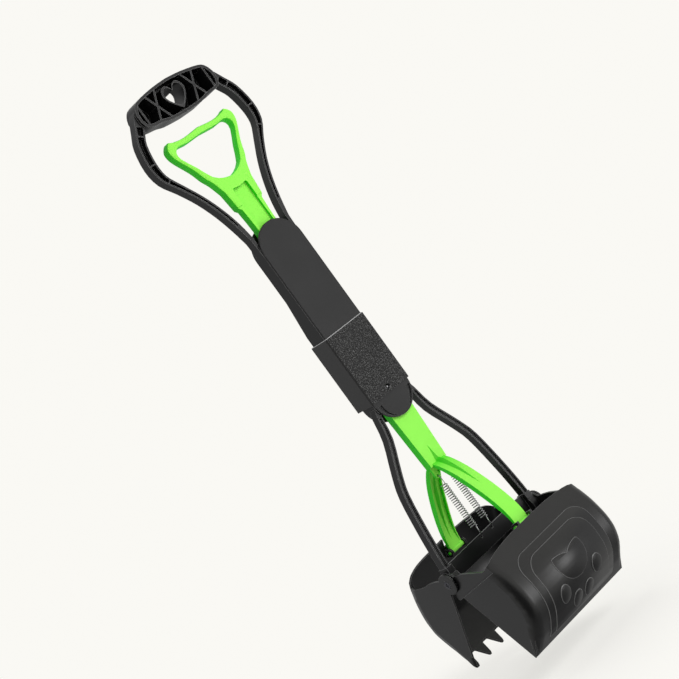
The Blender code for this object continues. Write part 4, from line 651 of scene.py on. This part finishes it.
@dataclass(frozen=True)
class ReturnSpring:
    """A wound extension spring between the cross plate and the fork.

    The coil runs from foot_share to head_share of the way between the hooks. A hook reaches out
    by hook_reach, and its bend and rise are shares of that.
    """

    side: str
    turns: int = 21
    steps: int = 20
    wire: float = 0.55 * MM
    wire_resolution: int = 3
    coil: float = 3.45 * MM
    foot_share: float = 0.155
    head_share: float = 0.868
    hook_reach: float = 3.1 * MM
    hook_rise_share: float = 0.4
    hook_bend_share: float = 0.75

    def build(self, material: bpy.types.Material) -> bpy.types.Object:
        """Wind the wire inside the box that the frame's own spring takes.

        Args:
            material: The wire's finish.

        Returns:
            The spring, as a mesh between the lower shaft and the fork.
        """
        node = "return_spring_" + self.side
        low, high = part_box(node)
        centre = (low.x + high.x) / 2
        bottom = low.z + self.wire
        top = high.z - self.wire
        points = self._path(centre, bottom, top)
        curve = bpy.data.curves.new("spring_wire_" + self.side, "CURVE")
        curve.dimensions = "3D"
        curve.bevel_depth = self.wire
        curve.bevel_resolution = self.wire_resolution
        curve.use_fill_caps = True
        spline = curve.splines.new("POLY")
        spline.points.add(len(points) - 1)
        for spot, point in zip(spline.points, points):
            spot.co = (*point, 1.0)
        curve.materials.append(material)
        wire = bpy.data.objects.new("wire_" + self.side, curve)
        bpy.context.collection.objects.link(wire)
        mesh = bpy.data.meshes.new_from_object(wire.evaluated_get(bpy.context.evaluated_depsgraph_get()))
        bpy.data.objects.remove(wire)
        piece = add_piece("wound_spring_" + self.side, mesh)
        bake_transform(piece)
        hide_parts(node)
        return piece

    def _path(self, centre: float, bottom: float, top: float) -> list[Vector]:
        """The wire's middle line, from the lower hook through the coil to the upper hook.

        Args:
            centre: X of the coil's axis.
            bottom: Height of the lower hook.
            top: Height of the upper hook.

        Returns:
            Its points.
        """
        reach, bend = self.hook_reach, self.hook_reach * self.hook_bend_share
        rise = self.hook_reach * self.hook_rise_share
        foot = bottom + (top - bottom) * self.foot_share
        head = bottom + (top - bottom) * self.head_share
        line = [(centre, reach, bottom), (centre, 0.0, bottom), (centre, -bend, bottom),
                (centre, -reach, bottom + rise)]
        count = self.turns * self.steps
        for step in range(count + 1):
            angle = math.tau * step / self.steps - math.pi / 2
            line.append((centre + self.coil * math.cos(angle), self.coil * math.sin(angle),
                         foot + (head - foot) * step / count))
        line += [(centre, -reach, top - rise), (centre, -bend, top), (centre, 0.0, top),
                 (centre, reach, top)]
        return [Vector(point) for point in line]


class JawWall:
    """The outer wall of the front jaw, read from the frame as a line from rim to lip.

    The rays' slopes are in degrees above the shut jaw's own level.
    """

    RAYS = 90
    FIRST_SLOPE = 32.0
    SWEEP = 124.0
    ACROSS = 30 * MM
    MIDDLE = Vector((12 * MM, -34 * MM))
    FAR = 0.2

    def __init__(self, axle_height: float, angle: float) -> None:
        """Feel the wall from outside with a fan of rays towards a point inside the jaw.

        Args:
            axle_height: Z of the jaw's axle.
            angle: How far the jaw is open, in radians.
        """
        self.axle = Vector((0.0, 0.0, axle_height))
        self.tilt = Matrix.Rotation(angle, 3, "X")
        skin = skin_of("front_jaw")
        self.line: list[Vector] = []
        for step in range(self.RAYS):
            slope = math.radians(self.FIRST_SLOPE - self.SWEEP * step / (self.RAYS - 1))
            away = Vector((math.cos(slope), math.sin(slope)))
            start = self.world(self.ACROSS, self.MIDDLE + away * self.FAR)
            aim = (self.world(self.ACROSS, self.MIDDLE) - start).normalized()
            hit = skin.ray_cast(start, aim, self.FAR)[0]
            if hit is not None:
                self.line.append(self.local(hit))
        self.lengths = [0.0]
        for before, after in zip(self.line, self.line[1:]):
            self.lengths.append(self.lengths[-1] + (after - before).length)

    def world(self, across: float, spot: Vector) -> Vector:
        """A point of the shut jaw's own plane as it stands in the frame at rest."""
        return self.axle + self.tilt.transposed() @ Vector((across, -spot.x, spot.y))

    def local(self, point: Vector) -> Vector:
        """Out and up, in the shut jaw's own plane."""
        shut = self.tilt @ (point - self.axle)
        return Vector((-shut.y, shut.z))

    def spot(self, across: float, along: float, height: float) -> Vector:
        """A point on the wall.

        Args:
            across: X.
            along: Distance down the wall from its first point.
            height: How far it stands out from the wall.

        Returns:
            The point in the frame.
        """
        along = min(max(along, 0.0), self.lengths[-1])
        index = next(i for i in range(1, len(self.lengths)) if self.lengths[i] >= along)
        before, after = self.line[index - 1], self.line[index]
        share = (along - self.lengths[index - 1]) / (self.lengths[index] - self.lengths[index - 1])
        run = (self.line[min(index + 1, len(self.line) - 1)] - self.line[max(index - 2, 0)]).normalized()
        outward = Vector((-run.y, run.x))
        return self.world(across, before.lerp(after, share) + outward * height)


def arc(centre: Point, radius: Point, first: float, last: float, steps: int) -> list[Point]:
    """Points along an ellipse's arc, both ends with it.

    Args:
        centre: Its middle.
        radius: Its half width and half height.
        first: Angle of the first point in degrees.
        last: Angle of the last point in degrees.
        steps: How many pieces it has.

    Returns:
        The points.
    """
    angles = [math.radians(first + (last - first) * step / steps) for step in range(steps + 1)]
    return [(centre[0] + radius[0] * math.cos(angle), centre[1] + radius[1] * math.sin(angle))
            for angle in angles]


@dataclass(frozen=True)
class Relief:
    """A raised form on the jaw's outer wall, drawn across it and down it.

    Its edge rises in the steps of edge_shares, each a share of the slope's width and of the
    form's height. least_fit keeps the inset of a sharp corner from running away.
    """

    name: str
    outline: Sequence[Point]
    base: float
    top: float
    slope: float = 0.6 * MM
    bend_step: float = 1.5 * MM
    edge_shares: Sequence[Point] = ((0.0, 0.0), (0.35, 0.82), (1.0, 1.0))
    least_fit: float = 0.5

    def raise_on(self, wall: JawWall, material: bpy.types.Material,
                 relief_highlight: bpy.types.Material) -> bpy.types.Object:
        """Build it as one closed solid that follows the wall.

        Args:
            wall: The wall that carries it.
            material: Its finish.
            relief_highlight: The finish of its edge, pale so that it paints a highlight line along it.

        Returns:
            The solid.
        """
        form = bmesh.new()
        rings = [self._ring(form, inset * self.slope, self.base + (self.top - self.base) * rise)
                 for inset, rise in self.edge_shares]
        form.faces.new(rings[0])
        form.faces.new(list(reversed(rings[-1])))
        # The edge walls take the second finish, which paints a highlight line along the outline.
        for lower, upper in zip(rings, rings[1:]):
            for index in range(len(lower)):
                after = (index + 1) % len(lower)
                form.faces.new((lower[index], upper[index], upper[after], lower[after])).material_index = 1
        downs = [down for _, down in self.outline]
        for cut in range(1, math.ceil((max(downs) - min(downs)) / self.bend_step)):
            bmesh.ops.bisect_plane(form, geom=[*form.verts, *form.edges, *form.faces],
                                   plane_co=(0.0, min(downs) + cut * self.bend_step, 0.0),
                                   plane_no=(0.0, 1.0, 0.0))
        for vert in form.verts:
            vert.co = wall.spot(*vert.co)
        return raise_piece(self.name, form, material, relief_highlight)

    def _ring(self, form: bmesh.types.BMesh, inset: float, height: float) -> list[bmesh.types.BMVert]:
        """One closed line of the form's edge.

        Args:
            form: The mesh that gets it.
            inset: How far it is drawn in from the outline.
            height: How far it stands out from the wall.

        Returns:
            Its points, in the outline's order.
        """
        spots = [Vector(point) for point in self.outline]
        ring = []
        for before, here, after in zip(spots[-1:] + spots, spots, spots[1:] + spots[:1]):
            ahead = (after - here).normalized()
            middle = ((here - before).normalized() + ahead).normalized()
            inward = Vector((-middle.y, middle.x)) / max(middle.dot(ahead), self.least_fit)
            ring.append(form.verts.new((*(here + inward * inset), height)))
        return ring


@dataclass(frozen=True)
class JawPanel:
    """The panel and the paw on the front jaw. Their places are distances down the wall."""

    axle_height: float = -550.5 * MM
    open_angle: float = math.radians(26.0)
    lift: float = 0.8 * MM
    sunk: float = 0.4 * MM
    half: float = 57.0 * MM
    top: float = 21.0 * MM
    foot: float = 121.0 * MM
    corner: float = 19.0 * MM
    corner_steps: int = 12
    foot_corner: float = 3.0 * MM
    foot_corner_steps: int = 5
    border: float = 9.3 * MM
    foot_border_share: float = 0.1
    pad_half: float = 23.3 * MM
    pad_brow: float = 55.0 * MM
    pad_top: float = 47.0 * MM
    pad_foot: float = 79.5 * MM
    pad_steps: int = 28
    pad_shares: Sequence[Point] = ((0.995, 0.35), (0.975, 0.70), (0.92, 0.93), (0.82, 1.0), (0.66, 0.97),
                                   (0.48, 0.88), (0.32, 0.76), (0.17, 0.60), (0.06, 0.44), (0.0, 0.38))
    toe_half: float = 8.0 * MM
    toe_reach: float = 10.6 * MM
    toe_points: int = 36
    toes: Sequence[Point] = ((-27.8 * MM, 83.5 * MM), (-9.8 * MM, 101.5 * MM),
                             (9.8 * MM, 101.5 * MM), (27.8 * MM, 83.5 * MM))

    def build(self, finish: Finishes, smooth: bpy.types.NodeTree) -> None:
        """Raise the panel's two steps, the pad and the toes on the outer wall.

        Args:
            finish: The scoop's finishes.
            smooth: The nodes that smooth a raised form and keep its edge crisp.
        """
        wall = JawWall(self.axle_height, self.open_angle)
        for form in self._forms():
            piece = form.raise_on(wall, finish.jaw, finish.relief_highlight)
            piece.modifiers.new("smooth", "NODES").node_group = smooth
            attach(piece, "front_jaw")

    def _forms(self) -> list[Relief]:
        """Every raised form.

        Returns:
            The forms, the lowest first.
        """
        first, second, third = (self.lift * step for step in (1, 2, 3))
        forms = [Relief("jaw_panel", self._panel(0.0), -self.sunk, first),
                 Relief("jaw_panel_inner", self._panel(self.border), first - self.sunk, second),
                 Relief("paw_pad", self._pad(), second - self.sunk, third)]
        last = 360.0 - 360.0 / self.toe_points
        for number, toe in enumerate(self.toes, 1):
            outline = arc(toe, (self.toe_half, self.toe_reach), 0.0, last, self.toe_points - 1)
            forms.append(Relief("paw_toe_" + str(number), outline, second - self.sunk, third))
        return forms

    def _panel(self, border: float) -> list[Point]:
        """The panel's outline, with big corners at the top.

        Args:
            border: How far it is drawn in.

        Returns:
            Its points.
        """
        half = self.half - border
        top = self.top + border
        foot = self.foot - border * self.foot_border_share
        big, small = self.corner, self.foot_corner
        return [*arc((half - small, foot - small), (small, small), 0.0, 90.0, self.foot_corner_steps),
                *arc((small - half, foot - small), (small, small), 90.0, 180.0, self.foot_corner_steps),
                *arc((big - half, top + big), (big, big), 180.0, 270.0, self.corner_steps),
                *arc((half - big, top + big), (big, big), 270.0, 360.0, self.corner_steps)]

    def _pad(self) -> list[Point]:
        """The pad: a round bottom, two corners and a notched top.

        Returns:
            Its points.
        """
        half, brow = self.pad_half, self.pad_brow
        bowl = arc((0.0, brow), (half, self.pad_foot - brow), 0.0, 180.0, self.pad_steps)
        left = [(-share * half, brow - (brow - self.pad_top) * rise) for share, rise in self.pad_shares]
        return bowl + left + [(-across, down) for across, down in reversed(left)][1:]


@dataclass(frozen=True)
class Jaws:
    """The two jaws with the screws and washers of their axle."""

    shells: tuple[str, ...] = ("front_jaw", "rear_jaw")

    def dress(self, finish: Finishes, smooth: bpy.types.NodeTree) -> None:
        """Give the jaws and their axle their finishes.

        Args:
            finish: The scoop's finishes.
            smooth: The nodes that smooth a moulded part.
        """
        wear(finish.jaw, smooth, *self.shells)
        wear(finish.frame, smooth, *("pivot_washer_" + side for side in SIDES))
        wear(finish.screw, smooth, *("pivot_screw_" + side for side in SIDES))


@dataclass(frozen=True)
class LegSpine:
    """A ridge along the middle of one of the fork's legs, which fades out at both ends.

    Rays run back from the plane y = start and find the leg's face between the heights top and
    foot. The ridge stands highest at crest_share of the way down.
    """

    name: str
    start: float
    top: float
    foot: float
    crest_share: float
    half: float
    height: float
    sunk: float = 0.3 * MM
    least: float = 0.15 * MM
    steps: int = 32

    def build(self, material: bpy.types.Material, smooth: bpy.types.NodeTree) -> bpy.types.Object:
        """Feel the leg's face with rays and lay the ridge on it.

        Args:
            material: The leg's own finish.
            smooth: The nodes that smooth the ridge.

        Returns:
            The ridge, as one closed solid.
        """
        line = self._line()
        form = bmesh.new()
        rings = []
        for index, point in enumerate(line):
            share = index / self.steps
            rise = min(share / self.crest_share, (1.0 - share) / (1.0 - self.crest_share))
            across = Vector((max(self.half * rise, self.least), 0.0, 0.0))
            run = (line[min(index + 1, self.steps)] - line[max(index - 1, 0)]).normalized()
            outward = Vector((0.0, run.z, -run.y))
            base = point - outward * self.sunk
            crest = point + outward * self.height * rise
            rings.append([form.verts.new(spot) for spot in (base - across, crest, base + across)])
        form.faces.new(rings[0])
        form.faces.new(rings[-1])
        for upper, lower in zip(rings, rings[1:]):
            for side in range(len(upper)):
                after = (side + 1) % len(upper)
                form.faces.new((upper[side], upper[after], lower[after], lower[side]))
        piece = raise_piece(self.name, form, material)
        piece.modifiers.new("smooth", "NODES").node_group = smooth
        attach(piece, "fork")
        return piece

    def _line(self) -> list[Vector]:
        """Points down the middle of the leg's face, found by rays that run back from the start.

        Returns:
            The points, the highest first.
        """
        skin = skin_of("fork_rod")
        heights = [self.top + (self.foot - self.top) * step / self.steps for step in range(self.steps + 1)]
        return [skin.ray_cast(Vector((0.0, self.start, height)), Vector((0.0, 1.0, 0.0)))[0]
                for height in heights]


@dataclass(frozen=True)
class Drive:
    """The trigger and the fork that it pulls, with the pin between them and the fork's ridges.

    Edges of a ridge that bend less than spine_bend degrees are smooth.
    """

    moulded: tuple[str, ...] = ("trigger", "fork_rod")
    pin: str = "rod_hinge_pin"
    spine_bend: float = 60.0
    spines: tuple[LegSpine, ...] = (
        LegSpine("front_leg_spine", start=-200 * MM, top=-426 * MM, foot=-486 * MM, crest_share=0.36,
                 half=3.2 * MM, height=4.6 * MM),
        LegSpine("rear_leg_spine", start=0.0, top=-450 * MM, foot=-533 * MM, crest_share=0.35,
                 half=2.6 * MM, height=3.8 * MM))

    def dress(self, finish: Finishes, smooth: bpy.types.NodeTree) -> None:
        """Give the trigger, the fork and their pin their finishes.

        Args:
            finish: The scoop's finishes.
            smooth: The nodes that smooth a moulded part.
        """
        wear(finish.green, smooth, *self.moulded)
        wear(finish.screw, smooth, self.pin)

    def build(self, finish: Finishes) -> None:
        """Lay the ridges on the fork's legs.

        Args:
            finish: The scoop's finishes.
        """
        smooth = moulded_smooth(self.spine_bend)
        for spine in self.spines:
            spine.build(finish.green, smooth)


@dataclass(frozen=True)
class PhotoCamera:
    """The camera that took the photograph, fitted to the scoop itself. Its lens is in millimetres."""

    place: Triple = (-1.0819, -1.4935, -0.1857)
    right: Triple = (0.63974, -0.49809, -0.58535)
    up: Triple = (0.50093, -0.30741, 0.80906)
    lens: float = 93.8
    sensor: float = 36.0
    nearest: float = 0.05
    farthest: float = 30.0

    def make(self) -> bpy.types.Object:
        """Set the camera up and make it the scene's own.

        Returns:
            The camera.
        """
        data = bpy.data.cameras.new("photo_camera")
        data.lens = self.lens
        data.sensor_width = self.sensor
        data.clip_start = self.nearest
        data.clip_end = self.farthest
        camera = bpy.data.objects.new("photo_camera", data)
        bpy.context.collection.objects.link(camera)
        right, up = Vector(self.right).normalized(), Vector(self.up).normalized()
        back = right.cross(up).normalized()
        turn = Matrix((right, back.cross(right), back)).transposed().to_4x4()
        camera.matrix_world = Matrix.Translation(self.place) @ turn
        bpy.context.scene.camera = camera
        return camera


@dataclass(frozen=True)
class Patch:
    """A lighter or darker part of the room, as polished faces mirror it.

    Its way is of length one. Start and full are cosines of angles to it, at which the patch
    begins and has its whole tone.
    """

    way: Triple
    start: float
    full: float
    tone: float

    def laid_on(self, sheet: Sheet, room: Signal | Colour) -> Signal:
        """Add the patch to the room.

        Args:
            sheet: The world's nodes.
            room: The room's colour so far.

        Returns:
            The room's colour with this patch in it.
        """
        along = sheet.measure("DOT_PRODUCT", sheet.place("Generated"), self.way)
        share = ((along - self.start) / (self.full - self.start)).as_share()
        return sheet.between(share, room, (self.tone, self.tone, self.tone))


@dataclass(frozen=True)
class Lamp:
    """A square soft lamp that looks at the middle of the scoop, from a place beside it."""

    name: str
    place: Triple
    size: float
    power: float

    def make(self) -> bpy.types.Object:
        """Set the lamp up.

        Returns:
            The lamp.
        """
        data = bpy.data.lights.new(self.name, "AREA")
        data.shape = "SQUARE"
        data.size = self.size
        data.energy = self.power
        lamp = bpy.data.objects.new(self.name, data)
        lamp.visible_glossy = False
        bpy.context.collection.objects.link(lamp)
        middle = (CAD_BOX[0] + CAD_BOX[1]) / 2
        lamp.location = Vector(self.place) + middle
        lamp.rotation_mode = "QUATERNION"
        lamp.rotation_quaternion = (middle - lamp.location).to_track_quat("-Z", "Y")
        return lamp


@dataclass(frozen=True)
class Studio:
    """A pale floor, soft lamps and a white room with a few darker and lighter parts."""

    backdrop: Colour = (0.955, 0.945, 0.905)
    ambient: float = 0.42
    sky_foot: Colour = (0.25, 0.25, 0.25)
    sky_head: Colour = (1.75, 1.75, 1.75)
    floor_drop: float = 0.03
    floor_half: float = 4.5
    floor_cloud: float = 0.4
    floor_shade: Colour = (0.90, 0.89, 0.86)
    floor_colour: Colour = (0.93, 0.92, 0.89)
    floor_roughness: float = 0.9
    near_glow_share: float = 0.6
    shade_reach: float = 0.22
    patches: tuple[Patch, ...] = (
        # The back wall, the ground, the dark left, the shaded right and the bright window.
        Patch((-0.20, 0.98, 0.0), start=0.1, full=0.8, tone=0.55),
        Patch((0.0, 0.0, -1.0), start=0.3, full=0.8, tone=0.25),
        Patch((-0.83, -0.52, -0.20), start=0.70, full=0.86, tone=0.03),
        Patch((0.88, -0.45, -0.15), start=0.80, full=0.96, tone=0.60),
        Patch((0.45, -0.88, -0.12), start=0.95, full=0.995, tone=5.4))
    lamps: tuple[Lamp, ...] = (
        Lamp("key", (1.1, -2.1, 1.2), size=1.3, power=48.0),
        Lamp("fill", (-2.2, -0.8, 0.6), size=1.4, power=5.0),
        Lamp("back", (0.4, 1.8, 1.8), size=1.6, power=12.0))

    def build(self) -> None:
        """Make the world, the floor and the lamps."""
        self._world()
        self._floor()
        for lamp in self.lamps:
            lamp.make()

    def _world(self) -> None:
        """White to the camera, softer as light, and a room with darker and lighter parts in mirrors."""
        world = bpy.data.worlds.new("studio")
        bpy.context.scene.world = world
        sheet = Sheet(world)
        seen, glossy, through = (sheet.node("ShaderNodeLightPath", output="Is " + ray + " Ray")
                                 for ray in ("Camera", "Glossy", "Transmission"))
        height = (sheet.along("Z", "Generated") * 0.5 + 0.5).as_share()
        sky = sheet.between(height, self.sky_foot, self.sky_head)
        light = sheet.shine("ShaderNodeBackground", sky, self.ambient)
        white = sheet.shine("ShaderNodeBackground", self.backdrop)
        room = self.backdrop
        for patch in self.patches:
            room = patch.laid_on(sheet, room)
        mirrored = sheet.shine("ShaderNodeBackground", room)
        shown = sheet.either(seen.larger(through), light, white)
        sheet.finish(sheet.either(glossy, shown, mirrored), "ShaderNodeOutputWorld")

    def _floor(self) -> None:
        """A wide pale floor under the scoop, which keeps its shadow."""
        low = CAD_BOX[0].z - self.floor_drop
        form = bmesh.new()
        form.faces.new([form.verts.new((x * self.floor_half, y * self.floor_half, low))
                        for x, y in ((-1, -1), (1, -1), (1, 1), (-1, 1))])
        material = bpy.data.materials.new("pale_floor")
        sheet = Sheet(material)
        tone = sheet.between(sheet.noise(self.floor_cloud), self.floor_shade, self.floor_colour)
        plain = sheet.surface(Base_Color=tone, Roughness=self.floor_roughness)
        glow = sheet.shine("ShaderNodeEmission", self.backdrop)
        seen = sheet.node("ShaderNodeLightPath", output="Is Camera Ray")
        far = sheet.measure("DISTANCE", sheet.place(), (0.0, 0.0, low))
        fade = ((far - self.shade_reach) / self.shade_reach).as_share()
        share = seen * (self.near_glow_share + fade * (1.0 - self.near_glow_share))
        sheet.finish(sheet.either(share, plain, glow))
        floor = raise_piece("floor", form, material)
        floor.visible_glossy = False


def main() -> None:
    """Build the studio, dress the frame and add the fine pieces."""
    logging.basicConfig(level=logging.INFO, format="%(name)s: %(message)s")
    PhotoCamera().make()
    Studio().build()
    finish = Finishes()
    smooth = moulded_smooth()
    drive = Drive()
    upper = ShaftHalf("upper_frame", "upper_front_cover",
                      tuple("upper_cover_screw_" + str(number) for number in range(1, 5)))
    lower = ShaftHalf("lower_frame", "lower_front_cover",
                      tuple(name + side for name in ("lower_cover_screw_", "fold_pin_") for side in SIDES))
    for assembly in (upper, lower, Lock(), drive, Jaws()):
        assembly.dress(finish, smooth)
    for side in SIDES:
        ReturnSpring(side).build(finish.spring)
    JawPanel().build(finish, smooth)
    drive.build(finish)
    bpy.context.scene.view_settings.view_transform = "Standard"


if __name__ == "__main__":
    main()
